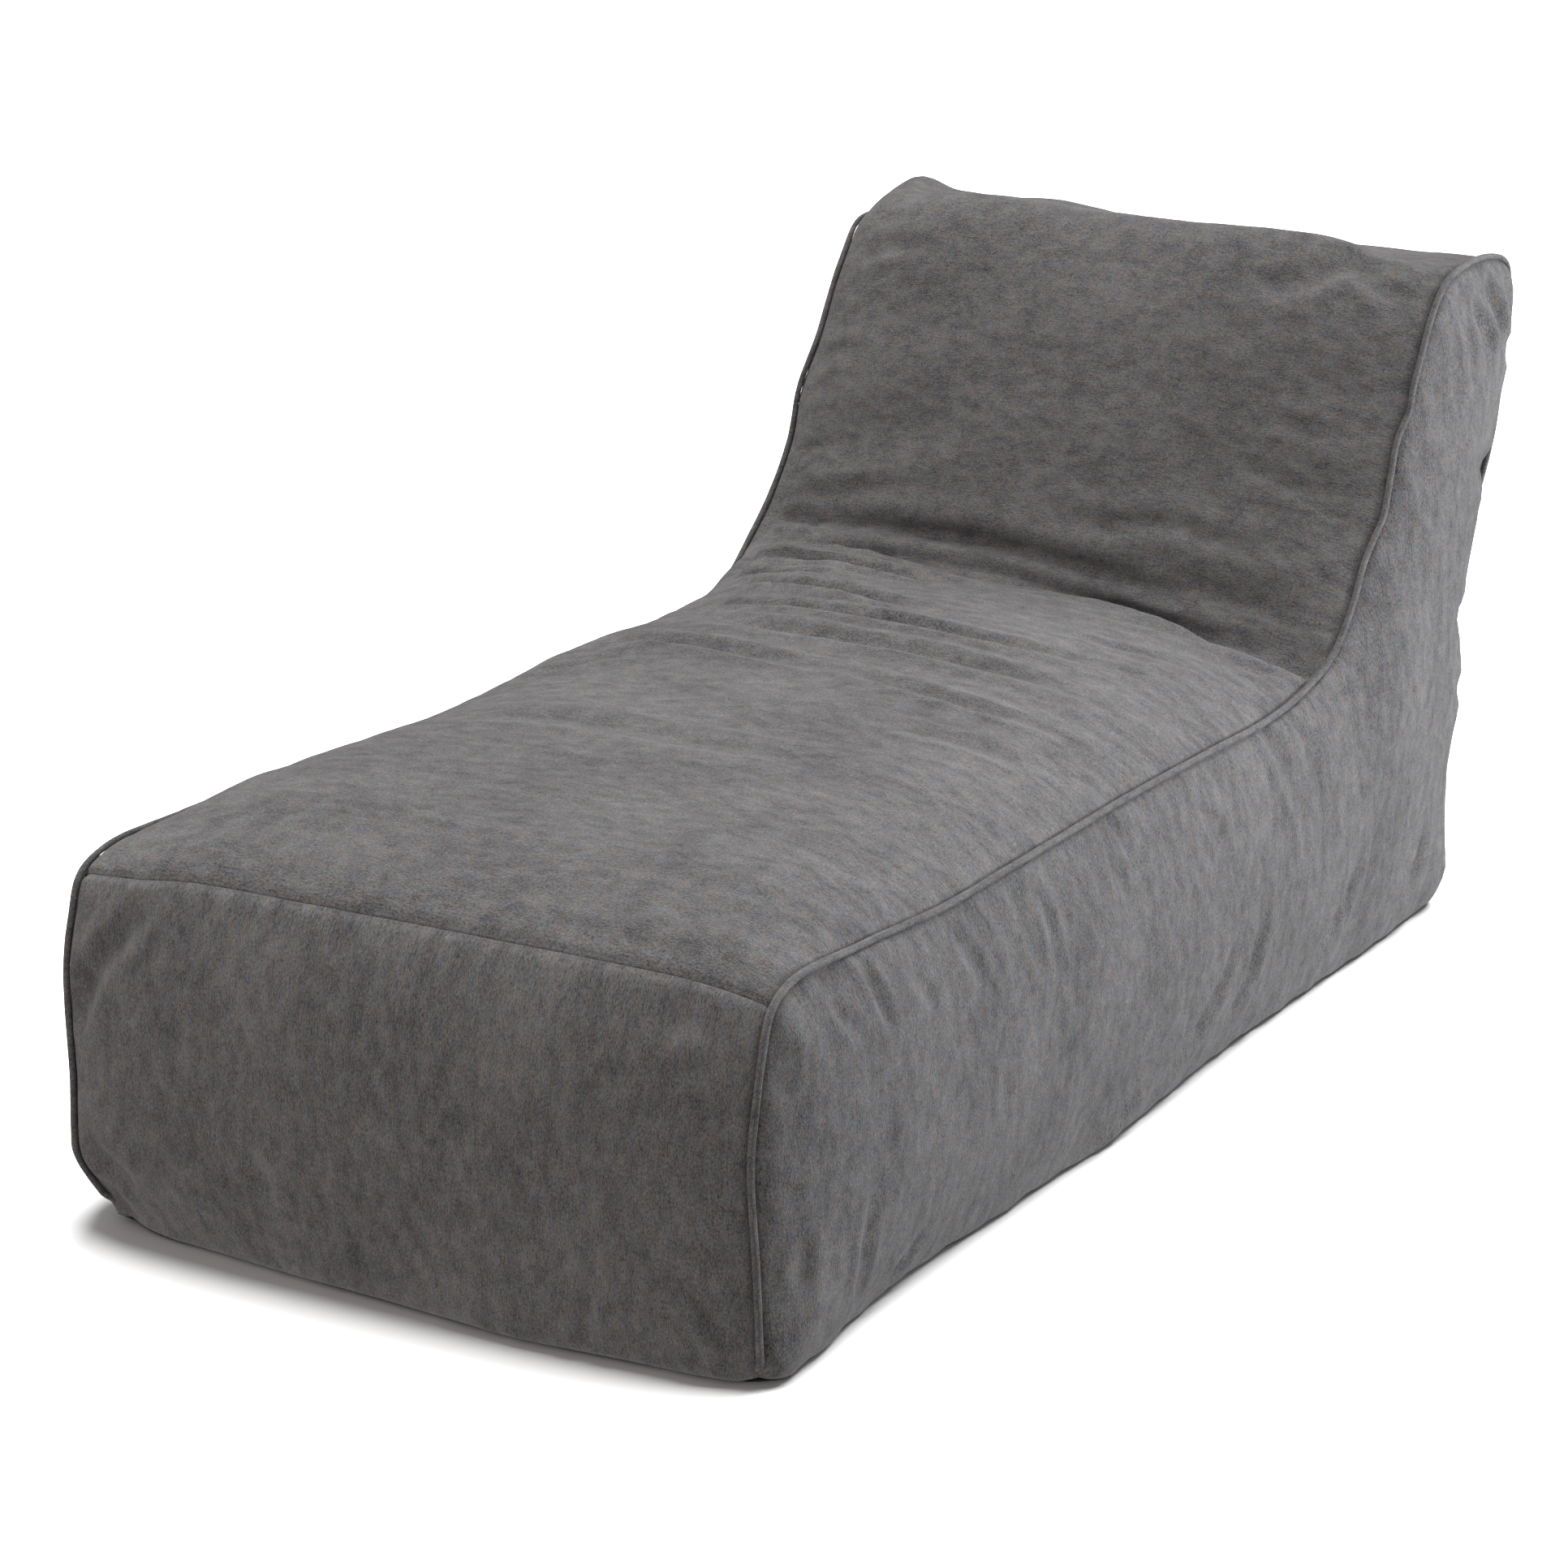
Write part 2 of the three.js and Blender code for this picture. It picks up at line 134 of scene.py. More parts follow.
def noise_line(at, spacing, seed):
    """Smooth random values between -1 and 1, one every spacing along a line."""
    values = np.random.default_rng(seed).uniform(-1, 1, 4000)
    place = np.asarray(at) / spacing + 1000
    index = np.floor(place).astype(int)
    share = ease(place - index)
    return values[index] * (1 - share) + values[index + 1] * share


def noise_plane(across, along, spacing_across, spacing_along, seed):
    """Smooth random values over a plane of cloth."""
    values = np.random.default_rng(seed).uniform(-1, 1, (512, 512))
    u, v = np.asarray(across) / spacing_across + 200, np.asarray(along) / spacing_along + 200
    i, j = np.floor(u).astype(int), np.floor(v).astype(int)
    a, b = ease(u - i), ease(v - j)
    low, high = (
        values[i % 512, k % 512] * (1 - a) + values[(i + 1) % 512, k % 512] * a for k in (j, j + 1)
    )
    return low * (1 - b) + high * b


def cubic(values, places):
    """Rows of values read at fractional row numbers, smoothly."""
    last = len(values) - 1
    index = np.clip(np.floor(places).astype(int), 0, last - 1)
    t = (places - index).reshape(-1, *([1] * (values.ndim - 1)))
    a = values[np.maximum(index - 1, 0)]
    b, c = values[index], values[index + 1]
    d = values[np.minimum(index + 2, last)]
    a = np.where((index == 0).reshape(t.shape), 2 * b - c, a)
    d = np.where((index == last - 1).reshape(t.shape), 2 * c - b, d)
    return b + 0.5 * t * (c - a + t * (2 * a - 5 * b + 4 * c - d + t * (3 * (b - c) + d - a)))


def refine(grid, rows, columns):
    """The same surface, read at fractional rows and columns."""
    half = cubic(grid, np.asarray(rows, float))
    return cubic(half.swapaxes(0, 1), np.asarray(columns, float)).swapaxes(0, 1)


def normals(grid, sign=1):
    along = np.gradient(grid, axis=0)
    across = np.gradient(grid, axis=1)
    normal = np.cross(across, along) * sign
    return normal / np.maximum(np.linalg.norm(normal, axis=2, keepdims=True), 1e-12)


OUTLINE_CURVE = smooth_curve(OUTLINE)
OUTLINE_RUN = lengths(OUTLINE_CURVE)
RUN_END = OUTLINE_RUN[-1]


def run_near(distance, height):
    """The run of the outline's point nearest to a place in the side view."""
    return OUTLINE_RUN[np.argmin(np.hypot(OUTLINE_CURVE[:, 0] - distance, OUTLINE_CURVE[:, 1] - height))]


def outline(run):
    """Points and outward directions of the side outline, in the side view."""
    def at(place):
        return np.stack([np.interp(place, OUTLINE_RUN, OUTLINE_CURVE[:, k]) for k in (0, 1)], -1)

    tangent = unit(at(run + 0.004) - at(run - 0.004))
    return at(run), np.stack([-tangent[..., 1], tangent[..., 0]], -1)


CORNER_RUN = run_near(0.035, 0.336)
FRONT_SEAM_RUN = run_near(0.020, 0.328)
CREASE_RUN = run_near(1.165, 0.350)
TOP_SEAM_RUN = run_near(1.600, 0.690)
REAR_CORNER_RUN = run_near(1.628, 0.677)
FLAT_RUN = run_near(1.500, 0.110)
ZIP_RUN = RUN_END - (ZIP_MIDDLE_Z - OUTLINE[-1][1])

# Small wanders of each piped seam: (run, outwards, sideways, reach)
WANDERS = {
    1: (
        (0.2, 0, -0.006, 0.045), (0.36, 0.002, -0.002, 0.03), (0.62, -0.002, 0.002, 0.08),
        (1, 0.001, -0.002, 0.1), (1.5, -0.002, 0.001, 0.03), (1.6, 0.002, -0.002, 0.02),
        (1.66, -0.002, 0.002, 0.015), (1.735, 0.002, -0.002, 0.02), (1.775, -0.002, 0.002, 0.012),
        (1.83, 0.001, 0.001, 0.02), (1.9, -0.001, -0.001, 0.02), (2.3, 0.004, 0.003, 0.05),
        (2.45, -0.005, -0.003, 0.04), (2.58, 0.003, 0.003, 0.04),
    ),
    -1: (
        (0.15, 0, -0.006, 0.05), (0.3, -0.002, -0.003, 0.03), (0.55, 0.003, 0.002, 0.07),
        (0.95, -0.002, 0.003, 0.1), (1.52, 0.003, 0.002, 0.04), (1.66, -0.004, 0.002, 0.025),
        (1.72, 0.002, 0.006, 0.03), (1.77, 0.004, -0.002, 0.02), (1.84, -0.003, 0.002, 0.02),
        (1.93, 0.004, 0.001, 0.02), (2.33, -0.004, 0.003, 0.05), (2.5, 0.004, -0.003, 0.04),
    ),
}
# The floor corners draw in as the bag fills: (side, at the foot end, pull in, lift, reach, height)
CORNERS = (
    (1, True, 0.01, 0, 0.016, 0.03), (-1, True, 0.02, 0.007, 0.06, 0.085),
    (1, False, 0.012, 0.005, 0.022, 0.085), (-1, False, 0.012, 0.005, 0.022, 0.085),
)
FLOOR_EDGE = 0.002  # height of the panels' lower edges
ROLL = 0.012  # radius in which the cloth rolls in under the bag


def pull_corners(place):
    """Places on the bag, drawn in where they are near a floor corner."""
    place = np.array(place, float)
    for side, foot, pull, lift, reach, height in CORNERS:
        corner_y = FOOT_Y if foot else REAR_Y
        inward = 1 if foot else -1
        near = np.hypot(place[..., 0] - side * HALF_WIDTH, place[..., 1] - corner_y)
        share = np.exp(-(near / reach) ** 2) * step(0, 1, 1 - place[..., 2] / height)
        place[..., 0] -= side * pull * share
        place[..., 1] += inward * pull * share
        place[..., 2] += lift * share
    return place


def roll_under(place):
    """Places on the bag, rolled in under it next to the floor, except at the rear with its zip."""
    place = np.array(place, float)
    up = np.clip(ROLL + FLOOR_EDGE - place[..., 2], 0, ROLL)
    inward = ROLL - np.sqrt(ROLL ** 2 - up ** 2)
    beside = np.exp(-(np.maximum(HALF_WIDTH - np.abs(place[..., 0]), 0) / 0.030) ** 2)
    before = np.exp(-(np.maximum(place[..., 1] - FOOT_Y, 0) / 0.030) ** 2)
    place[..., 0] -= np.sign(place[..., 0]) * 0.35 * inward * beside
    place[..., 1] += inward * before
    place[..., 2] = np.maximum(place[..., 2], FLOOR_EDGE)
    return place


def plain_seam(side, run):
    """One piped seam before the corners pull in, and the direction out of the bag between its cloths."""
    run = np.asarray(run, float)
    point, outward = outline(run)
    out = np.zeros(run.shape)
    sideways = np.zeros(run.shape)
    for at, push, slide, reach in WANDERS[side]:
        out += push * bell(run - at, reach)
        sideways += slide * bell(run - at, reach)
    side_view = point + outward * out[..., None]
    place = np.stack([side * (HALF_WIDTH + sideways), FOOT_Y + side_view[..., 0], side_view[..., 1]], -1)
    diagonal = np.stack([np.full(run.shape, side * 1.0), outward[..., 0], outward[..., 1]], -1)
    return place, diagonal / math.sqrt(2)


def seam(side, run):
    place, diagonal = plain_seam(side, run)
    return pull_corners(place), diagonal


# ---------------------------------------------------------------- the shape of the stuffed cover
# How far the filling pushes the strip out past its seams: (run, height in the middle, reach from the seams)
STRIP_PUFF = (
    (0, 0.014, 0.045), (0.05, 0.021, 0.045), (0.14, 0.029, 0.05), (0.25, 0.029, 0.055), (0.33, 0.023, 0.05),
    (0.38, 0.03, 0.045), (0.48, 0.051, 0.05), (0.7, 0.064, 0.06), (1.05, 0.064, 0.06), (1.3, 0.058, 0.055),
    (1.42, 0.043, 0.05), (1.485, 0.014, 0.045), (1.54, 0.013, 0.045), (1.6, 0.045, 0.05),
    (1.66, 0.052, 0.055), (1.8, 0.05, 0.06), (1.94, 0.042, 0.06), (2.01, 0.014, 0.045),
    (2.08, 0.007, 0.045), (2.2, 0.022, 0.05), (2.35, 0.036, 0.06), (2.5, 0.036, 0.06), (2.62, 0.018, 0.05),
    (2.7, 0.002, 0.05), (2.9, 0, 0.05),
)
# Extra lumps and hollows on the strip: (x, run, height, reach across, reach along)
STRIP_LUMPS = (
    (-0.29, 1.455, 0.026, 0.055, 0.045), (-0.285, 1.33, 0.012, 0.06, 0.07), (-0.3, 1.1, 0.01, 0.03, 0.1),
    (-0.29, 0.8, -0.005, 0.03, 0.05), (-0.328, 2.02, 0.023, 0.02, 0.055), (-0.28, 2.03, 0.008, 0.04, 0.05),
    (0.1, 2.02, -0.02, 0.11, 0.055), (0.27, 2.02, -0.012, 0.05, 0.05), (-0.15, 2.02, 0.008, 0.045, 0.05),
    (-0.3, 0.42, -0.008, 0.04, 0.06), (0.06, 1.545, 0.01, 0.18, 0.03), (-0.12, 1.97, -0.006, 0.06, 0.025),
    (0.285, 1.945, -0.013, 0.035, 0.032), (0.05, 1.75, 0.004, 0.12, 0.08),
    (-0.285, 0.27, -0.01, 0.03, 0.05), (-0.25, 0.02, -0.016, 0.1, 0.04), (0.12, 0.01, 0.009, 0.07, 0.04),
)
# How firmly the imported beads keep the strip's shape while it settles: (run, hold)
HOLD = ((0, 0.16), (0.5, 0.2), (0.9, 0.14), (1.3, 0.07), (1.6, 0.06), (1.75, 0.14), (2, 0.2), (2.9, 0.12))
CREASE_SLANT = 0.11  # the crease runs further back on the left
# How far the side panels' floor edges stand out from the seams above: (distance from the foot end, offset)
FLOOR_WAVE = (
    (0, 0.003), (0.04, 0.007), (0.26, -0.009), (0.45, 0.001), (0.68, 0.009), (0.88, 0.001), (1.13, 0.005),
    (1.3, 0.01), (1.44, 0.008), (1.5, 0),
)
SIDE_PUFF = 0.031
SIDE_REACH = 0.038
# Extra lumps on the side panels: (distance from the foot end, height, push, reach along, reach up)
SIDE_LUMPS = (
    (1.55, 0.56, 0.001, 0.035, 0.05), (1.5, 0.395, 0.001, 0.03, 0.035), (1.47, 0.25, 0.006, 0.04, 0.06),
    (1.545, 0.48, -0.008, 0.06, 0.018), (1.5, 0.32, -0.005, 0.06, 0.015), (1.25, 0.33, 0.006, 0.1, 0.08),
    (0.05, 0.25, -0.005, 0.04, 0.06), (0.7, 0.15, 0.005, 0.2, 0.06), (1.525, 0.658, -0.015, 0.045, 0.024),
    (1.52, 0.64, -0.003, 0.05, 0.03),
)


def strip_start(across, run):
    """The strip before it settles. across is -1 at the left seam and 1 at the right one."""
    left, right = plain_seam(-1, run[:, 0])[0], plain_seam(1, run[:, 0])[0]
    share = (across[0] + 1)[None, :, None] / 2
    base = left[:, None] * (1 - share) + right[:, None] * share
    outward = outline(run)[1]
    level = step(0, 0.07, np.minimum(run, RUN_END - run))
    out = unit(np.stack([np.zeros(run.shape), outward[..., 0], outward[..., 1] * level], -1))
    x = across * HALF_WIDTH
    height, reach = table(run + CREASE_SLANT * x * bell(run - CREASE_RUN, 0.10), STRIP_PUFF)
    from_seam = HALF_WIDTH * (1 - np.abs(across))
    push = height * (1 - np.exp(-from_seam / reach)) / (1 - np.exp(-HALF_WIDTH / reach))
    edge = step(0, 0.022, from_seam)
    for at_x, at_run, lump, reach_x, reach_run in STRIP_LUMPS:
        push += lump * bell(x - at_x, reach_x) * bell(run - at_run, reach_run) * edge
    return pull_corners(base + out * push[..., None])


def side_flat(p, q):
    """Side-view places of a side panel between its four edges: p from foot to rear, q from floor to top."""
    def edge(run):
        return outline(run)[0]

    front = edge(q * CORNER_RUN)
    rear = edge(RUN_END - q * (RUN_END - REAR_CORNER_RUN))
    top = edge(CORNER_RUN + p * (REAR_CORNER_RUN - CORNER_RUN))
    first, last, corner, end = edge(np.array([0, RUN_END, CORNER_RUN, REAR_CORNER_RUN]))
    p, q = p[..., None], q[..., None]
    floor = first * (1 - p) + last * p
    corners = floor * (1 - q) + (corner * (1 - p) + end * p) * q
    return floor * (1 - q) + top * q + front * (1 - p) + rear * p - corners


def nearest(flat, curve):
    """How far each flat place is from a curve, and the number of the curve's point nearest to it."""
    places = flat.reshape(-1, 2)
    gaps, numbers = [], []
    for part in np.array_split(places, max(1, len(places) // 2000)):
        gap = np.hypot(part[:, None, 0] - curve[:, 0], part[:, None, 1] - curve[:, 1])
        gaps.append(gap.min(1))
        numbers.append(gap.argmin(1))
    return np.concatenate(gaps).reshape(flat.shape[:2]), np.concatenate(numbers).reshape(flat.shape[:2])


def side_start(side, p, q):
    """A side panel before it settles, with three of its edges on the piped seam, and its flat shape."""
    flat = side_flat(p, q)
    first, last = OUTLINE_CURVE[:1], OUTLINE_CURVE[-1:]
    floor_line = first + (last - first) * np.linspace(1, 0, 200)[:, None]
    from_rim = nearest(flat, np.vstack([OUTLINE_CURVE, floor_line]))[0]
    bulge = SIDE_PUFF * (1 - np.exp(-from_rim / SIDE_REACH))
    for at, height, push, reach, reach_up in SIDE_LUMPS:
        lump = bell(flat[..., 0] - at, reach) * bell(flat[..., 1] - height, reach_up)
        bulge += push * lump * step(0, 0.03, from_rim)
    start = np.stack([side * (HALF_WIDTH + bulge), FOOT_Y + flat[..., 0], flat[..., 1]], -1)
    wave = table(flat[:, :1, 0] if side > 0 else BASE_LENGTH - flat[:, :1, 0], FLOOR_WAVE)[0]
    start[..., 0] += side * wave * step(0, 0.1, 0.1 - flat[..., 1])
    start = pull_corners(start)
    start[0] = seam(side, q[0] * CORNER_RUN)[0]
    start[-1] = seam(side, RUN_END - q[0] * (RUN_END - REAR_CORNER_RUN))[0]
    start[:, -1] = seam(side, CORNER_RUN + p[:, 0] * (REAR_CORNER_RUN - CORNER_RUN))[0]
    return start, flat


# ---------------------------------------------------------------- cloth simulation
SETTLE_FRAMES = 30
CLOTH_SETTINGS = {
    "quality": 5, "mass": 0.4, "air_damping": 2, "vertex_group_mass": "hold", "pin_stiffness": 1,
    "tension_stiffness": 15, "compression_stiffness": 15, "shear_stiffness": 4, "bending_stiffness": 0.02,
    "tension_damping": 10, "compression_damping": 10, "shear_damping": 10,
    "use_pressure": True, "uniform_pressure_force": 3,
}
# Ease cut into the strip along its run, which gathers into folds: (run, share)
STRIP_EASE = ((0, 0.02), (0.3, 0.02), (0.7, 0.018), (1.2, 0.03), (1.5, 0.05), (1.7, 0.02), (2.8, 0.015))
STRIP_WIDER = 0.012  # and across it
SIDE_MIDDLE = np.array([0.75, 0.17])
SIDE_LARGER = 1.022  # how much larger the side panels are cut, about their middle
SIDE_HOLD = 0.08
STRIP_CAP = 0.022  # how far the cloth may move as it settles
SIDE_CAP = 0.016


def grid_faces(rows, columns, flip):
    index = np.arange(rows * columns).reshape(rows, columns)
    around = [index[:-1, :-1], index[:-1, 1:], index[1:, 1:], index[1:, :-1]]
    return np.stack(around[::-1] if flip else around, -1).reshape(-1, 4)


def new_object(name, data):
    made = bpy.data.objects.new(name, data)
    bpy.context.scene.collection.objects.link(made)
    return made


def new_mesh_object(name, vertices, faces):
    mesh = bpy.data.meshes.new(name)
    mesh.from_pydata(np.asarray(vertices).reshape(-1, 3).tolist(), [], [list(face) for face in faces])
    return new_object(name, mesh)


def drop(piece):
    mesh = piece.data
    bpy.data.objects.remove(piece)
    bpy.data.meshes.remove(mesh)


def settle(name, start, flat, hold, cap, flip=False):
    """Lets a cut piece of cloth settle over the filling, sewn down where hold is 1, by cap at most."""
    rows, columns = start.shape[:2]
    piece = new_mesh_object(name, start, grid_faces(rows, columns, flip))
    piece.shape_key_add(name="Basis")
    cut = piece.shape_key_add(name="cut")
    cut.data.foreach_set("co", np.dstack([flat, np.zeros((rows, columns))]).ravel())
    group = piece.vertex_groups.new(name="hold")
    for weight in np.unique(hold):
        if weight > 0:
            group.add(np.flatnonzero(hold.ravel() == weight).tolist(), float(weight), "REPLACE")
    cloth = piece.modifiers.new("cloth", "CLOTH")
    for key, value in CLOTH_SETTINGS.items():
        setattr(cloth.settings, key, value)
    cloth.settings.rest_shape_key = cut
    cloth.settings.effector_weights.gravity = 0
    cloth.collision_settings.use_collision = False
    cloth.point_cache.frame_start = 1
    cloth.point_cache.frame_end = SETTLE_FRAMES
    for number in range(1, SETTLE_FRAMES + 1):
        bpy.context.scene.frame_set(number)
    settled = np.empty(rows * columns * 3, np.float32)
    piece.evaluated_get(bpy.context.evaluated_depsgraph_get()).data.vertices.foreach_get("co", settled)
    drop(piece)
    bpy.context.scene.frame_set(1)
    move = settled.astype(float).reshape(rows, columns, 3) - start
    size = np.linalg.norm(move, axis=2, keepdims=True)
    return start + move * np.minimum(1, cap / np.maximum(size, 1e-9))


def cut_across(start):
    """Distances across the cloth from its middle column, with some ease added."""
    step_lengths = np.linalg.norm(np.diff(start, axis=1), axis=2)
    across = np.concatenate([np.zeros((len(start), 1)), np.cumsum(step_lengths, axis=1)], 1)
    return (across - across[:, [-1]] / 2) * (1 + STRIP_WIDER)


def settled_strip():
    """The whole long strip, as one grid of rows along its run and columns across."""
    rows = int(round(RUN_END / GRID)) + 1
    columns = int(round(2 * HALF_WIDTH / GRID)) + 1
    run, across = np.meshgrid(np.linspace(0, RUN_END, rows), np.linspace(-1, 1, columns), indexing="ij")
    start = strip_start(across, run)
    more = table(run, STRIP_EASE)[0]
    along = np.cumsum((1 + more[1:]) * np.diff(run, axis=0), axis=0)
    flat = np.dstack([cut_across(start), np.concatenate([np.zeros((1, columns)), along])])
    hold = np.round(table(run, HOLD)[0], 2)
    hold[:2] = hold[run[:, 0] > FLAT_RUN - 0.01] = 1
    hold[:, 0] = hold[:, -1] = 1
    return settle("strip", start, flat, hold, STRIP_CAP)


def settled_side(side):
    columns = int(round((REAR_CORNER_RUN - CORNER_RUN) / GRID)) + 1
    rows = int(round(CORNER_RUN / GRID)) + 1
    p, q = np.meshgrid(np.linspace(0, 1, columns), np.linspace(0, 1, rows), indexing="ij")
    start, flat = side_start(side, p, q)
    cut = SIDE_MIDDLE + (flat - SIDE_MIDDLE) * SIDE_LARGER
    hold = np.full(p.shape, SIDE_HOLD)
    hold[0] = hold[-1] = hold[:, 0] = hold[:, -1] = 1
    return settle(f"side {side}", start, cut, hold, SIDE_CAP, flip=side > 0)


# ---------------------------------------------------------------- folds and puckers in the finished cloth
# Folds on the strip: (route of (x, run) places, depth, width, how far its lips stand up)
STRIP_FOLDS = (
    # the crease between seat and backrest
    (((-0.33, 1.495), (-0.27, 1.508), (-0.16, 1.512), (-0.05, 1.505), (0.06, 1.49), (0.18, 1.465),
      (0.27, 1.445), (0.34, 1.45), (0.6, 1.5)), 0.017, 0.012, 0.35),
    # the backrest overhangs the crease
    (((-0.3, 1.545), (-0.16, 1.545), (0, 1.527), (0.12, 1.505), (0.22, 1.478), (0.34, 1.47),
      (0.6, 1.5)), 0.008, 0.016, 0.9),
    # folds that fan out from the left end of the crease over the rear of the seat
    (((-0.325, 1.47), (-0.28, 1.485), (-0.21, 1.48), (-0.13, 1.47), (-0.05, 1.468)), 0.01, 0.0075, 0.8),
    (((-0.325, 1.43), (-0.26, 1.43), (-0.18, 1.425), (-0.1, 1.412), (-0.02, 1.415)), 0.0095, 0.008, 0.8),
    (((-0.32, 1.39), (-0.26, 1.38), (-0.19, 1.37), (-0.11, 1.362)), 0.0085, 0.008, 0.8),
    (((-0.3, 1.345), (-0.24, 1.33), (-0.17, 1.308), (-0.09, 1.285), (0.02, 1.265)), 0.012, 0.0095, 0.8),
    (((-0.325, 1.29), (-0.25, 1.24), (-0.16, 1.212), (-0.04, 1.203), (0.1, 1.203),
      (0.26, 1.232)), 0.0108, 0.01, 0.8),
    (((-0.25, 1.175), (-0.12, 1.135), (0.04, 1.125), (0.18, 1.118), (0.29, 1.125)), 0.01, 0.013, 0.6),
    (((-0.31, 1.1), (-0.22, 1.064), (-0.11, 1.045), (0.04, 1.015)), 0.0078, 0.011, 0.7),
    (((0.02, 1.035), (0.12, 1.008), (0.22, 1.002), (0.31, 1.02)), 0.0054, 0.009, 0.7),
    (((-0.315, 0.9), (-0.25, 0.96), (-0.19, 1.01), (-0.14, 1.04)), 0.0045, 0.012, 0.6),
    (((-0.25, 0.74), (-0.1, 0.76), (0.05, 0.752), (0.18, 0.745)), 0.0036, 0.018, 0.8),
    (((0.12, 1.29), (0.2, 1.3), (0.28, 1.325)), 0.0033, 0.009, 0.7),
    (((0.13, 0.9), (0.22, 0.905), (0.31, 0.925)), 0.0027, 0.012, 0.7),
    # drag lines and dents on the backrest
    (((-0.02, 1.585), (0.08, 1.58), (0.15, 1.59), (0.24, 1.578), (0.335, 1.595)), 0.0045, 0.011, 0.8),
    (((0.15, 1.545), (0.22, 1.53), (0.3, 1.525)), 0.0036, 0.009, 0.6),
    (((0.19, 1.68), (0.26, 1.664), (0.32, 1.652)), 0.003, 0.01, 0.7),
    (((0.2, 1.735), (0.28, 1.728), (0.335, 1.735)), 0.0024, 0.009, 0.7),
    (((0.13, 1.845), (0.18, 1.812), (0.22, 1.78)), 0.0024, 0.012, 0.7),
    (((0.13, 1.885), (0.2, 1.882), (0.26, 1.918), (0.32, 1.925)), 0.0072, 0.014, 0.5),
    (((0.255, 1.925), (0.3, 1.895), (0.33, 1.88)), 0.0054, 0.011, 0.6),
    (((-0.325, 1.868), (-0.27, 1.883), (-0.19, 1.876)), 0.0042, 0.009, 0.8),
    (((-0.335, 1.555), (-0.3, 1.56), (-0.25, 1.55)), 0.006, 0.008, 0.8),
    (((-0.34, 1.625), (-0.3, 1.648), (-0.24, 1.645)), 0.0036, 0.009, 0.7),
    (((-0.34, 1.745), (-0.3, 1.76), (-0.26, 1.758)), 0.003, 0.009, 0.7),
    (((-0.12, 1.945), (-0.02, 1.955), (0.09, 1.945)), 0.003, 0.015, 0.6),
    (((-0.26, 2.1), (-0.2, 2.085), (-0.12, 2.08)), 0.0048, 0.012, 0.6),
    # the foot end
    (((-0.15, 0.135), (-0.13, 0.105), (-0.12, 0.07)), 0.0036, 0.009, 0.8),
    (((-0.035, 0.085), (-0.03, 0.055), (-0.03, 0.02)), 0.0038, 0.008, 0.8),
    (((0.2, 0.075), (0.198, 0.04), (0.2, 0.005)), 0.0048, 0.008, 0.9),
    (((0.28, 0.1), (0.31, 0.065), (0.34, 0.025)), 0.0058, 0.0075, 0.9),
    (((0.25, 0.3), (0.29, 0.31), (0.33, 0.3)), 0.004, 0.012, 0.5),
    (((-0.24, 0.33), (-0.275, 0.3), (-0.305, 0.265), (-0.33, 0.215), (-0.345, 0.15)), 0.01, 0.011, 0.5),
    (((-0.335, 0.1), (-0.31, 0.07), (-0.27, 0.04)), 0.0085, 0.014, 0.5),
    # the rear
    (((-0.3, 2.3), (-0.15, 2.33), (0.02, 2.32)), 0.005, 0.014, 0.6),
    (((0.32, 2.38), (0.22, 2.4), (0.08, 2.39)), 0.0055, 0.014, 0.6),
    (((-0.32, 2.52), (-0.2, 2.5), (-0.05, 2.52)), 0.0045, 0.015, 0.6),
    (((0.325, 2.56), (0.22, 2.55), (0.12, 2.57)), 0.0045, 0.012, 0.6),
    (((-0.32, 2.2), (-0.22, 2.22), (-0.12, 2.21)), 0.0035, 0.012, 0.6),
    (((0.32, 2.24), (0.24, 2.235), (0.15, 2.25)), 0.004, 0.012, 0.6),
)
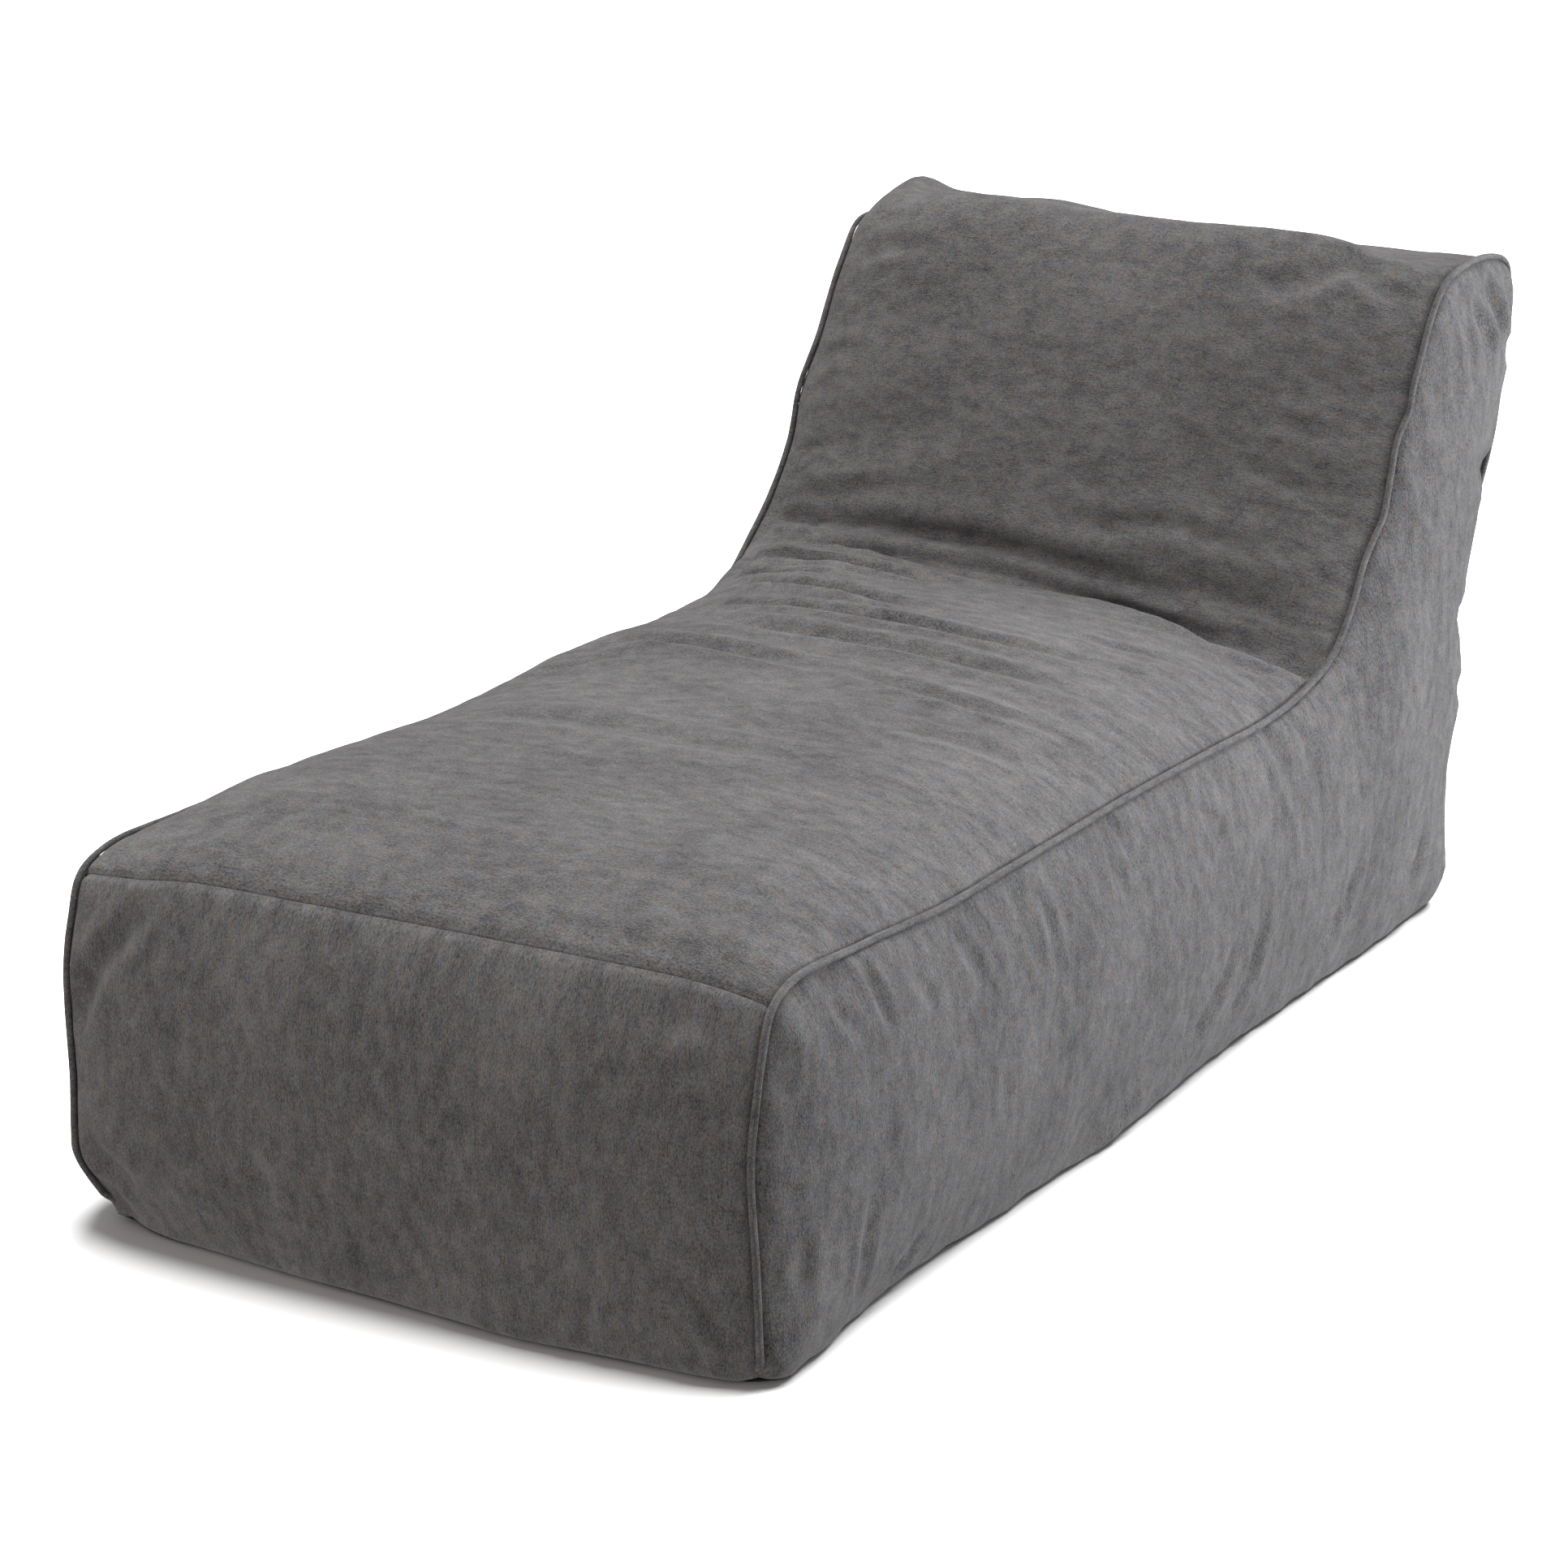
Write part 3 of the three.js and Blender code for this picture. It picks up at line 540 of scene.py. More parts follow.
# Folds on the side panels: (route of (distance from the foot end, height) places, depth, width, lips)
SIDE_FOLDS = (
    (((0.085, 0.328), (0.1, 0.3), (0.135, 0.265)), 0.003, 0.007, 0.9),
    (((0.14, 0.33), (0.155, 0.305), (0.165, 0.26)), 0.0028, 0.007, 0.9),
    (((0.21, 0.325), (0.23, 0.295), (0.245, 0.245)), 0.0026, 0.008, 0.9),
    (((0.29, 0.322), (0.325, 0.285), (0.345, 0.225)), 0.0026, 0.009, 0.9),
    (((0.45, 0.32), (0.47, 0.285), (0.475, 0.215)), 0.0024, 0.009, 0.9),
    (((0.6, 0.312), (0.62, 0.27), (0.632, 0.23)), 0.002, 0.009, 0.9),
    (((0.8, 0.305), (0.825, 0.268), (0.855, 0.225)), 0.002, 0.01, 0.9),
    (((0.7, 0.03), (0.77, 0.055), (0.82, 0.09), (0.855, 0.13), (0.87, 0.18)), 0.0056, 0.0115, 0.7),
    (((0.86, 0.035), (0.905, 0.08), (0.925, 0.135), (0.915, 0.19)), 0.006, 0.012, 0.7),
    (((1.08, 0.03), (1.14, 0.075), (1.17, 0.12), (1.165, 0.17)), 0.006, 0.0125, 0.7),
    (((0.13, 0.025), (0.122, 0.09), (0.138, 0.16)), 0.0038, 0.009, 0.8),
    (((0.03, 0.07), (0.032, 0.11), (0.04, 0.15)), 0.003, 0.008, 0.8),
    (((0.56, 0.015), (0.64, 0.03), (0.71, 0.065)), 0.005, 0.0085, 0.8),
    (((0.17, 0.012), (0.23, 0.04), (0.26, 0.085)), 0.004, 0.009, 0.8),
    (((1.3, 0.02), (1.35, 0.07), (1.37, 0.14)), 0.0055, 0.01, 0.8),
    (((1.43, 0.02), (1.455, 0.09), (1.45, 0.18)), 0.0035, 0.01, 0.8),
    (((1.59, 0.48), (1.545, 0.47), (1.5, 0.49)), 0.006, 0.011, 0.7),
    (((1.53, 0.33), (1.48, 0.325), (1.43, 0.345)), 0.0045, 0.011, 0.7),
    (((1.625, 0.59), (1.58, 0.6), (1.54, 0.63)), 0.004, 0.011, 0.7),
    (((1.51, 0.24), (1.46, 0.25), (1.41, 0.235)), 0.0035, 0.011, 0.7),
    (((1.48, 0.672), (1.5, 0.64), (1.505, 0.59)), 0.007, 0.011, 0.8),
    (((1.6, 0.68), (1.59, 0.645), (1.575, 0.6)), 0.006, 0.009, 0.7),
    (((1.4, 0.63), (1.425, 0.59), (1.43, 0.54)), 0.0022, 0.009, 0.8),
    (((1.545, 0.685), (1.548, 0.645), (1.54, 0.59)), 0.0065, 0.009, 0.8),
)
# How deep the cloth dips beside the piping and at the flat seams, and how far from them
TUCK = 0.0026
TUCK_REACH = 0.0045
FLAT_SEAM_TUCK = 0.0030
FLAT_SEAM_REACH = 0.0028
# Puckers along the seams and edges: (lean, spacing, reach, height)
SEAM_PUCKERS = (0.25, 0.024, 0.035, 0.0022)
FOOT_PUCKERS = (0.1, 0.026, 0.045, 0.0035)
FLOOR_PUCKERS = (0, 0.034, 0.055, 0.0050)
REAR_PUCKERS = (0, 0.050, 0.060, 0.0040)
PIPING_PUCKERS = (0, 0.021, 0.060, 1.0)  # times the height below
PUCKER_HEIGHT = 0.0044
# Where the puckers below the piping are higher: (distance from the foot end, by how much, reach)
HIGHER_PUCKERS = ((0.15, 0.0046, 0.18), (0.75, 0.0024, 0.20))
# Unevenness of the filling: (height, spacing across, spacing along, seed)
STRIP_UNEVEN = ((0.0010, 0.060, 0.045, 41), (0.0005, 0.028, 0.014, 42))
SIDE_UNEVEN = ((0.0012, 0.045, 0.080, 20), (0.0005, 0.014, 0.035, 21))


def tuck_in(grid, side, run, from_seam):
    """Cloth dipped beside one piped seam, less where the seam turns the top rear corner."""
    depth = TUCK * (1 - 0.45 * bell(run - REAR_CORNER_RUN, 0.05)) * np.exp(-(from_seam / TUCK_REACH) ** 2)
    return grid - seam(side, run)[1] * depth[..., None]


def fold(flat, route, depth, width, lips):
    """How far one fold moves the cloth: a groove along the route with a soft lip on each side."""
    curve = smooth_curve(route, 12)
    along = lengths(curve)
    low, high = curve.min(0) - 5 * width, curve.max(0) + 5 * width
    inside = ((flat > low) & (flat < high)).all(-1)
    places = flat[inside]
    moved = np.zeros(flat.shape[:2])
    if not len(places):
        return moved
    gap = places[:, None] - curve[None]
    closest = (gap ** 2).sum(-1).argmin(1)
    distance = np.linalg.norm(places - curve[closest], axis=1)
    share = along[closest] / along[-1]
    taper = step(0, 0.35, share) * step(0, 0.45, 1 - share)
    profile = lips * bell(distance - 1.9 * width, 0.9 * width) - bell(distance, width)
    moved[inside] = depth * profile * taper * step(0, 4 * width, 5 * width - distance)
    return moved


def ripples(along, distance, lean, spacing, reach, height, seed):
    """Puckers that run in from a seam: along is the place along it, distance how far in from it."""
    place = along + lean * distance
    strength = 0.45 + 0.55 * noise_line(along, spacing * 4.3, seed + 1)
    wave = noise_line(place, spacing, seed) * 0.7 + noise_line(place, spacing * 0.53, seed + 2) * 0.3
    return height * wave * np.maximum(strength, 0.1) * np.exp(-distance / reach) * step(0, 0.006, distance)


def graded(length):
    """Places from 0 to length, close together near both ends."""
    fine = EDGE_FINE * np.arange(7)
    count = max(2, int(round((length - 2 * fine[-1]) / FINE)) + 1)
    middle = np.linspace(fine[-1], length - fine[-1], count)
    return np.concatenate([fine[:-1], middle, length - fine[-2::-1]])


def strip_piece(settled, low, high, window=0):
    """Finished cloth of the strip between two runs, and its (x, run) places. window is the way its edge at
    the zip moves to open the window there."""
    runs = low + graded(high - low)
    xs = graded(2 * HALF_WIDTH) - HALF_WIDTH
    if window:
        corner = np.array([0, WINDOW_CORNER])
        xs = np.sort(np.concatenate([xs, ZIP_WINDOW_X + corner, -ZIP_WINDOW_X - corner]))
    rows, columns = settled.shape[:2]
    across = (xs + HALF_WIDTH) / (2 * HALF_WIDTH)
    grid = refine(settled, runs / RUN_END * (rows - 1), across * (columns - 1))
    x, run = np.meshgrid(xs, runs)
    flat = np.dstack([x, run])
    edge = HALF_WIDTH - np.abs(x)
    push = sum(fold(flat, *row) for row in STRIP_FOLDS) * step(0, 0.012, edge)
    for side, seed in ((-1, 11), (1, 23)):
        push += ripples(run, HALF_WIDTH - side * x, *SEAM_PUCKERS, seed)
    push += ripples(x, run, *FOOT_PUCKERS, 31) * step(0, 0.02, run)
    for height, across, along, seed in STRIP_UNEVEN:
        push += height * noise_plane(x, run, across, along, seed) * step(0, 0.03, edge)
    push *= 1 - step(FLAT_RUN - 0.10, FLAT_RUN, run)
    seams = sum(bell(run - at, FLAT_SEAM_REACH) for at in (FRONT_SEAM_RUN, TOP_SEAM_RUN))
    grid = grid + normals(grid) * (push - FLAT_SEAM_TUCK * seams)[..., None]
    for side in (-1, 1):
        grid = tuck_in(grid, side, run, HALF_WIDTH - side * x)
    if low == 0 or high == RUN_END:
        grid = roll_under(grid)
    if window:
        above, below = step(FLAT_RUN, ZIP_RUN, run), step(ZIP_RUN, RUN_END, RUN_END - run + ZIP_RUN)
        open_part = step(0, WINDOW_CORNER, ZIP_WINDOW_X + WINDOW_CORNER - np.abs(x))
        grid[..., 2] += window * ZIP_WINDOW_HALF * (above if window > 0 else below) * open_part
    return grid, flat


def side_piece(side, settled):
    """Finished cloth of one side panel, and its (distance, height) places."""
    columns, rows = settled.shape[:2]
    length = REAR_CORNER_RUN - CORNER_RUN
    ps, qs = graded(length) / length, graded(CORNER_RUN) / CORNER_RUN
    grid = refine(settled, ps * (columns - 1), qs * (rows - 1))
    flat = side_flat(*np.meshgrid(ps, qs, indexing="ij"))
    from_seam, number = nearest(flat, OUTLINE_CURVE)
    distance, height = flat[..., 0], flat[..., 1]
    seed = 60 if side > 0 else 90
    push = sum(fold(flat, *row) for row in SIDE_FOLDS)
    hanging = PUCKER_HEIGHT + sum(more * bell(distance - at, reach) for at, more, reach in HIGHER_PUCKERS)
    push += hanging * ripples(distance - 0.35 * from_seam, from_seam, *PIPING_PUCKERS, seed)
    push += ripples(distance - 0.5 * height, height, *FLOOR_PUCKERS, seed + 7) * step(0.004, 0.03, height)
    push += ripples(height, np.abs(distance - 1.56), *REAR_PUCKERS, seed + 13)
    for rise, across, up, more in SIDE_UNEVEN:
        push += rise * noise_plane(distance, height, across, up, seed + more) * step(0, 0.03, from_seam)
    grid = grid + normals(grid, -side) * push[..., None]
    return roll_under(tuck_in(grid, side, OUTLINE_RUN[number], from_seam)), flat


# ---------------------------------------------------------------- meshes
def new_piece(name, vertices, faces, material):
    piece = new_mesh_object(name, vertices, faces)
    piece.data.polygons.foreach_set("use_smooth", [True] * len(piece.data.polygons))
    piece.data.materials.append(material)
    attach(piece, BODY)
    return piece


def set_weave(mesh, places):
    """Gives each corner its place on the cloth in metres, yarn direction first."""
    corners = np.empty(len(mesh.loops), np.int32)
    mesh.loops.foreach_get("vertex_index", corners)
    layer = mesh.uv_layers.new(name="weave")
    layer.data.foreach_set("uv", np.asarray(places, np.float32)[corners].ravel())


def cloth_sheet(name, outer, weave, sign, material, thickness=CLOTH):
    """A cloth panel with its real thickness, from the grid of its outer face."""
    rows, columns = outer.shape[:2]
    count = rows * columns
    inner = outer - normals(outer, sign) * thickness
    index = np.arange(count).reshape(rows, columns)
    top = grid_faces(rows, columns, sign < 0)
    rim = np.concatenate([index[0, :-1], index[:-1, -1], index[-1, :0:-1], index[:0:-1, 0]])
    ahead = np.roll(rim, -1)
    wall = np.stack([ahead, rim, rim + count, ahead + count], -1)
    if sign < 0:
        wall = wall[:, ::-1]
    faces = np.concatenate([top, top[:, ::-1] + count, wall])
    vertices = np.concatenate([outer.reshape(-1, 3), inner.reshape(-1, 3)])
    piece = new_piece(name, vertices, faces, material)
    set_weave(piece.data, np.tile(weave.reshape(-1, 2), (2, 1)))
    return piece


def tube(path, across, out, section):
    """Rings of points along a path. section gives (across, out) offsets, for all rings or for each."""
    return path[:, None] + across[:, None] * section[..., 0, None] + out[:, None] * section[..., 1, None]


def skin(rings, sides):
    """The faces of a tube, and the numbers of its ring points and of the points next to them."""
    index = np.arange(rings * sides).reshape(rings, sides)
    ahead = np.roll(index, -1, axis=1)
    return np.stack([index[:-1], ahead[:-1], ahead[1:], index[1:]], -1).reshape(-1, 4), index, ahead


def tube_faces(rings, sides):
    faces, index, _ = skin(rings, sides)
    return faces.tolist() + [index[0, ::-1].tolist(), index[-1].tolist()]


def hollow_tube(name, path, across, out, outer, inner, weave, material):
    """A sleeve along a path. outer and inner are rings of (across, out) offsets, one per path point."""
    outside, index, ahead = skin(*outer.shape[:2])
    count = index.size
    low_rim = np.stack([ahead[0], index[0], index[0] + count, ahead[0] + count], -1)
    high_rim = np.stack([index[-1], ahead[-1], ahead[-1] + count, index[-1] + count], -1)
    faces = np.concatenate([outside, outside[:, ::-1] + count, low_rim, high_rim])
    rings = [tube(path, across, out, section).reshape(-1, 3) for section in (outer, inner)]
    piece = new_piece(name, np.concatenate(rings), faces, material)
    set_weave(piece.data, np.tile(weave.reshape(-1, 2), (2, 1)))
    return piece


# ---------------------------------------------------------------- materials
# Colours are linear red, green and blue; a ramp's stops are (value, colour)
HEATHER_GREYS = (
    (0.15, (0.055, 0.055, 0.058)), (0.38, (0.118, 0.117, 0.120)), (0.52, (0.166, 0.165, 0.166)),
    (0.83, (0.262, 0.260, 0.258)),
)
# Tints over the grey: ((length, width, detail, roughness, shift) of the blotches, stops)
HEATHER_TINTS = (
    ((0.014, 0.008, 4, 0.6, 97), ((0.3, (1.1, 0.99, 0.93)), (0.5, (1, 1, 1)), (0.7, (0.93, 0.985, 1.09)))),
    ((0.01, 0.006, 3, 0.6, 131), ((0.3, (0.97, 1.03, 0.97)), (0.5, (1, 1, 1)), (0.7, (1.04, 0.975, 1.02)))),
    ((0.003, 0.0012, 1, 0.5, 151), ((0.32, (0.62, 0.62, 0.64)), (0.42, (1, 1, 1)))),
)
BEAD_SIZE = 0.0042


def new_material(name, colour, roughness, metallic=0.0, specular=0.3, sheen=0.0):
    material = bpy.data.materials.new(name)
    material.use_nodes = True
    inputs = material.node_tree.nodes["Principled BSDF"].inputs
    values = {"Base Color": (*colour, 1), "Roughness": roughness, "Metallic": metallic,
              "Specular IOR Level": specular, "Sheen Weight": sheen, "Sheen Roughness": 0.45}
    for key, value in values.items():
        inputs[key].default_value = value
    return material


def node(owner, kind, links=(), **values):
    """A shader node of a material or world, its values set and its inputs linked from the sockets given."""
    made = owner.node_tree.nodes.new("ShaderNode" + kind)
    for key, value in values.items():
        setattr(made, key, value)
    for key, value in dict(links).items():
        if isinstance(value, bpy.types.NodeSocket):
            owner.node_tree.links.new(value, made.inputs[key])
        else:
            made.inputs[key].default_value = value
    return made


def cloth_place(material):
    return node(material, "UVMap", uv_map="weave").outputs["UV"]


def solid_place(material):
    return node(material, "TexCoord").outputs["Object"]


def noise(material, place, along, across, detail=2.0, rough=0.5, shift=0.0):
    """Noise with blotches this long and this wide, in metres."""
    scaled = node(material, "Mapping", {"Vector": place, "Location": (shift, shift, shift),
                                        "Scale": (1 / along, 1 / across, 1 / across)})
    return node(material, "TexNoise", {"Vector": scaled.outputs[0], "Scale": 1.0, "Detail": detail,
                                       "Roughness": rough}).outputs["Fac"]


def weighted(material, parts):
    """The sum of (socket, weight) pairs, each socket centred on zero first."""
    total = None
    for socket, weight in parts:
        centred = node(material, "Math", {0: socket, 1: 0.5}, operation="SUBTRACT").outputs[0]
        terms = {0: centred, 1: weight, 2: 0.5 if total is None else total}
        total = node(material, "Math", terms, operation="MULTIPLY_ADD").outputs[0]
    return total


def ramp(owner, value, stops):
    made = node(owner, "ValToRGB", {"Fac": value})
    row = made.color_ramp.elements
    while len(row) < len(stops):
        row.new(0.5)
    for element, (place, colour) in zip(row, stops):
        element.position = place
        element.color = (*colour, 1)
    return made.outputs["Color"]


def finish_material(material, colour, height, bump=0.0005, strength=0.6, rough=None):
    tree = material.node_tree
    shader = tree.nodes["Principled BSDF"]
    tree.links.new(colour, shader.inputs["Base Color"])
    if rough is not None:
        tree.links.new(rough, shader.inputs["Roughness"])
    raised = node(material, "Bump", {"Height": height, "Distance": bump, "Strength": strength})
    tree.links.new(raised.outputs["Normal"], shader.inputs["Normal"])
    return material


def heather_cloth():
    """The cover's brushed heather cloth: slubs along one yarn direction, blotches, specks, faint tints."""
    made = new_material("heather_cloth", (0.16, 0.16, 0.16), 0.95, specular=0.15, sheen=0.12)
    place = cloth_place(made)
    fleck = noise(made, place, 0.0029, 0.0014, 3, 0.65)
    slub = noise(made, place, 0.0085, 0.0022, 2, 0.6, 31)
    grain = noise(made, place, 0.0012, 0.0010, 2, 0.6, 71)
    blotch = noise(made, place, 0.026, 0.015, 5, 0.7, 7)
    broad = noise(made, place, 0.150, 0.090, 2, 0.5, 53)
    tone = weighted(made, ((fleck, 1.00), (slub, 0.42), (grain, 0.85), (blotch, 0.84), (broad, 0.34)))
    dyed = ramp(made, tone, HEATHER_GREYS)
    for blotches, stops in HEATHER_TINTS:
        tint = ramp(made, noise(made, place, *blotches), stops)
        mix = node(made, "Mix", {"Factor": 1.0, 6: dyed, 7: tint}, data_type="RGBA", blend_type="MULTIPLY")
        dyed = mix.outputs[2]
    height = weighted(made, ((fleck, 0.8), (slub, 0.4), (grain, 0.6), (blotch, 0.25)))
    return finish_material(made, dyed, height, 0.0009, 0.6)


def woven(name, dark, light, pitch, roughness, specular=0.2, bump=0.0002, sheen=0.0, blotch=0.3):
    """Plain woven cloth with its yarns a pitch apart."""
    made = new_material(name, light, roughness, specular=specular, sheen=sheen)
    place = cloth_place(made)
    bands = {"Vector": place, "Scale": math.pi / 10 / pitch, "Distortion": 0.6, "Detail": 1.0}
    warp, weft = (node(made, "TexWave", bands, bands_direction=way).outputs["Fac"] for way in "XY")
    uneven = noise(made, place, 0.012, 0.004, 3, 0.6, 5)
    tone = weighted(made, ((warp, 0.35), (weft, 0.35), (uneven, blotch)))
    height = weighted(made, ((warp, 0.5), (weft, 0.5)))
    return finish_material(made, ramp(made, tone, ((0.2, dark), (0.8, light))), height, bump, 0.7)


def plain_solid(name, dark, light, roughness, metallic=0.0):
    """Moulded plastic or die-cast metal: faint mottling, small scratches and uneven gloss."""
    made = new_material(name, light, roughness, metallic, 0.5)
    place = solid_place(made)
    mottle = noise(made, place, 0.0015, 0.0015, 4, 0.6)
    scratch = noise(made, place, 0.0040, 0.0003, 2, 0.6, 13)
    tone = weighted(made, ((mottle, 0.8), (scratch, 0.5)))
    gloss = node(made, "MapRange", {"Value": tone, "To Min": roughness + 0.12, "To Max": roughness - 0.10})
    shade = ramp(made, tone, ((0.25, dark), (0.75, light)))
    return finish_material(made, shade, tone, 0.00004, 0.5, gloss.outputs[0])


def bead_material():
    made = new_material("foam_beads", (0.85, 0.85, 0.83), 0.7)
    inputs = {"Vector": solid_place(made), "Scale": 1 / BEAD_SIZE}
    cells = node(made, "TexVoronoi", inputs).outputs["Distance"]
    # Each bead is painted lighter in its middle and darker towards its rim: painted shade in the crevices
    # between the beads.
    shade = ramp(made, cells, ((0, (0.9, 0.9, 0.88)), (0.45, (0.8, 0.8, 0.78)), (0.75, (0.45, 0.45, 0.44))))
    round_top = node(made, "Math", {0: 1.0, 1: cells}, operation="SUBTRACT").outputs[0]
    return finish_material(made, shade, round_top, 0.0015, 0.9)


COVER = heather_cloth()
BASE = woven("base_cloth", (0.018, 0.018, 0.019), (0.052, 0.052, 0.054), 0.0011, 0.85, 0.25, 0.0003)
LINER = woven("liner_cloth", (0.60, 0.60, 0.58), (0.80, 0.80, 0.78), 0.0009, 0.8, 0.2, 0.0002)
TAPE = woven("zip_tape_weave", (0.020, 0.020, 0.021), (0.060, 0.060, 0.062), 0.0008, 0.8, 0.25, 0.0002)
CORD = woven("cotton_cord", (0.42, 0.40, 0.36), (0.66, 0.64, 0.59), 0.0012, 0.9, 0.15, 0.0003)
LABEL = woven("label_satin", (0.72, 0.72, 0.70), (0.86, 0.86, 0.84), 0.0005, 0.5, 0.4, 0.0001, 0.2, 0.1)
THREAD = woven("sewing_thread", (0.050, 0.050, 0.052), (0.120, 0.120, 0.122), 0.0006, 0.7, 0.3, 0.0001)
COIL = plain_solid("nylon_coil", (0.018, 0.018, 0.019), (0.040, 0.040, 0.042), 0.42)
METAL = plain_solid("zip_metal", (0.30, 0.30, 0.31), (0.55, 0.55, 0.56), 0.34, metallic=1.0)
BEADS = bead_material()


def declare(piece, cut, *nodes):
    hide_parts(*nodes)


def strip_covers(settled):
    """The strip's four panels. The yarns that show as slubs run across, and up and down on the front."""
    rows = (
        ("front_cover", 0, FRONT_SEAM_RUN, 0, "front_panel"),
        ("seat_back_cover", FRONT_SEAM_RUN, TOP_SEAM_RUN, 0, "seat_back_panel"),
        ("rear_cover", TOP_SEAM_RUN, ZIP_RUN, 1, "rear_panel"),
        ("rear_zip_strip", ZIP_RUN, RUN_END, -1, "rear_zip_facing"),
    )
    grids = {}
    for number, (name, low, high, window, replaced) in enumerate(rows):
        grid, flat = strip_piece(settled, low, high, window)
        weave = flat[..., ::-1] if name == "front_cover" else flat
        piece = cloth_sheet(name, grid, weave + 3.7 * number, 1, COVER)
        declare(piece, name, replaced)
        grids[name] = grid
    return grids


def side_cover(side, name):
    grid, flat = side_piece(side, settled_side(side))
    weave = flat[..., ::-1] + 20 + 5 * side
    piece = cloth_sheet("side_cover_" + name, grid, weave, -side, COVER)
    declare(piece, "side_cover", "side_panel_" + name)
    return grid


def evenly(curve, count):
    along = lengths(curve)
    return np.stack([np.interp(np.linspace(0, along[-1], count), along, curve[:, k]) for k in range(3)], -1)


def base_cover(front, rear, left, right):
    """The flat base cloth, its rim turned up to the lower edges of the other panels."""
    columns, rows = 60, 110
    p, q = np.linspace(0, 1, rows)[:, None, None], np.linspace(0, 1, columns)[None, :, None]
    front, rear = evenly(front, columns)[None], evenly(rear, columns)[None]
    left, right = evenly(left, rows)[:, None], evenly(right, rows)[:, None]
    corners = ((1 - p) * ((1 - q) * front[:, :1] + q * front[:, -1:])
               + p * ((1 - q) * rear[:, :1] + q * rear[:, -1:]))
    grid = (1 - p) * front + p * rear + (1 - q) * left + q * right - corners
    rim_gap = np.minimum(np.minimum(p, 1 - p) * BASE_LENGTH, np.minimum(q, 1 - q) * 2 * HALF_WIDTH)[..., 0]
    grid[..., 2] = np.maximum(0, (grid[..., 2] - 0.0012) * np.exp(-(rim_gap / 0.018) ** 2))
    piece = cloth_sheet("base_cover", grid, grid[..., :2], -1, BASE)
    declare(piece, "base_cover", "base_panel")


# ---------------------------------------------------------------- piping
PIPING_END = 0.006  # the cord stops short of the floor
CORD_TWIST = 0.011  # length in which a strand goes a third of the way round


def piping_path(side):
    """The cord's middle line. Its ends turn in under the bag, where the floor seam closes over them."""
    run = np.linspace(PIPING_END, RUN_END - PIPING_END, 760)
    path, diagonal = seam(side, run)
    to_end = np.minimum(run, RUN_END - run) - PIPING_END
    path = path + diagonal * 0.0007
    path = path - diagonal * (0.011 * (1 - step(0, 0.020, to_end)))[:, None]
    path[:, 2] = np.maximum(path[:, 2], PIPING_RADIUS + 0.0012)
    tangent = unit(np.gradient(path, axis=0))
    across = unit(np.cross(tangent, diagonal))
    return run, path, across, np.cross(across, tangent)


def piping(side, name):
    run, path, across, out = piping_path(side)
    turn = np.linspace(0, 2 * math.pi, 20, endpoint=False)[None]
    along = run[:, None]
    worn = 0.035 * noise_line(along, 0.013, 200 + side) + 0.030 * noise_line(along, 0.045, 210 + side)
    crease = 0.07 * bell(turn - 0.25 - 0.3 * noise_line(along, 0.05, 220 + side), 0.22)
    radius = PIPING_RADIUS * (1 + worn - crease - 0.05 * np.cos(2 * turn))
    ring = np.stack([np.sin(turn), np.cos(turn)], -1)
    wrapping = radius[..., None] * ring
    lining = np.broadcast_to(ring * (CORD_RADIUS + 0.0003), wrapping.shape)
    around = turn * PIPING_RADIUS
    weave = np.dstack([(along + around), (along - around)]) * math.sqrt(0.5) + 40 + 3 * side
    wrap = hollow_tube(
        "piping_wrap_cloth_" + name, path, across, out, wrapping, lining, weave, COVER
    )
    declare(wrap, "piping_wrap", "piping_wrap_" + name)
    twist = turn + along / CORD_TWIST * 2 * math.pi / 3
    strands = CORD_RADIUS * (0.90 + 0.09 * np.cos(3 * twist))
    rings = tube(path, across, out, strands[..., None] * ring)
    faces = tube_faces(*rings.shape[:2])
    cord = new_piece("piping_cord_core_" + name, rings, faces, CORD)
    set_weave(cord.data, np.dstack([along + 0 * turn, 0.004 * turn + 0 * along]).reshape(-1, 2))
    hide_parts("piping_cord_" + name)


# ---------------------------------------------------------------- zips
COIL_PITCH = 0.0020
COIL_WIRE = 0.00036  # radius of the filament
TEETH = 0.0006  # how far each half of the chain reaches between the other half's loops
STITCH = 0.0032  # length of one stitch
STITCH_GAP = 0.0013
THREAD_RADIUS = 0.00030
SIXTHS = np.linspace(0, 2 * math.pi, 6, endpoint=False)
HEXAGON = np.stack([np.sin(SIXTHS), np.cos(SIXTHS)], -1)  # section of the filament and the thread
METAL_PARTS = ("zip_end_stop_left", "zip_end_stop_right", "zip_slider", "zip_pull_tab", "liner_zip_slider")


def middle(node_name):
    low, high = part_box(node_name)
    return (low + high) / 2, high - low


def zip_tape(node_name):
    """A woven tape, its face slightly wavy."""
    place, size = middle(node_name)
    columns, rows = 90, 12
    x = np.linspace(place.x - size.x / 2, place.x + size.x / 2, columns)[None]
    z = np.linspace(place.z - size.z / 2, place.z + size.z / 2, rows)[:, None]
    wave = 0.00010 * noise_line(x, 0.030, 300) * np.sin((z - place.z) / size.z * math.pi)
    y = place.y + size.y / 2 + wave + 0 * z
    grid = np.dstack([x + 0 * z, y, z + 0 * x])[:, ::-1]
    piece = cloth_sheet(node_name + "_weave", grid, grid[..., [0, 2]], 1, TAPE, size.y)
    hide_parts(node_name)


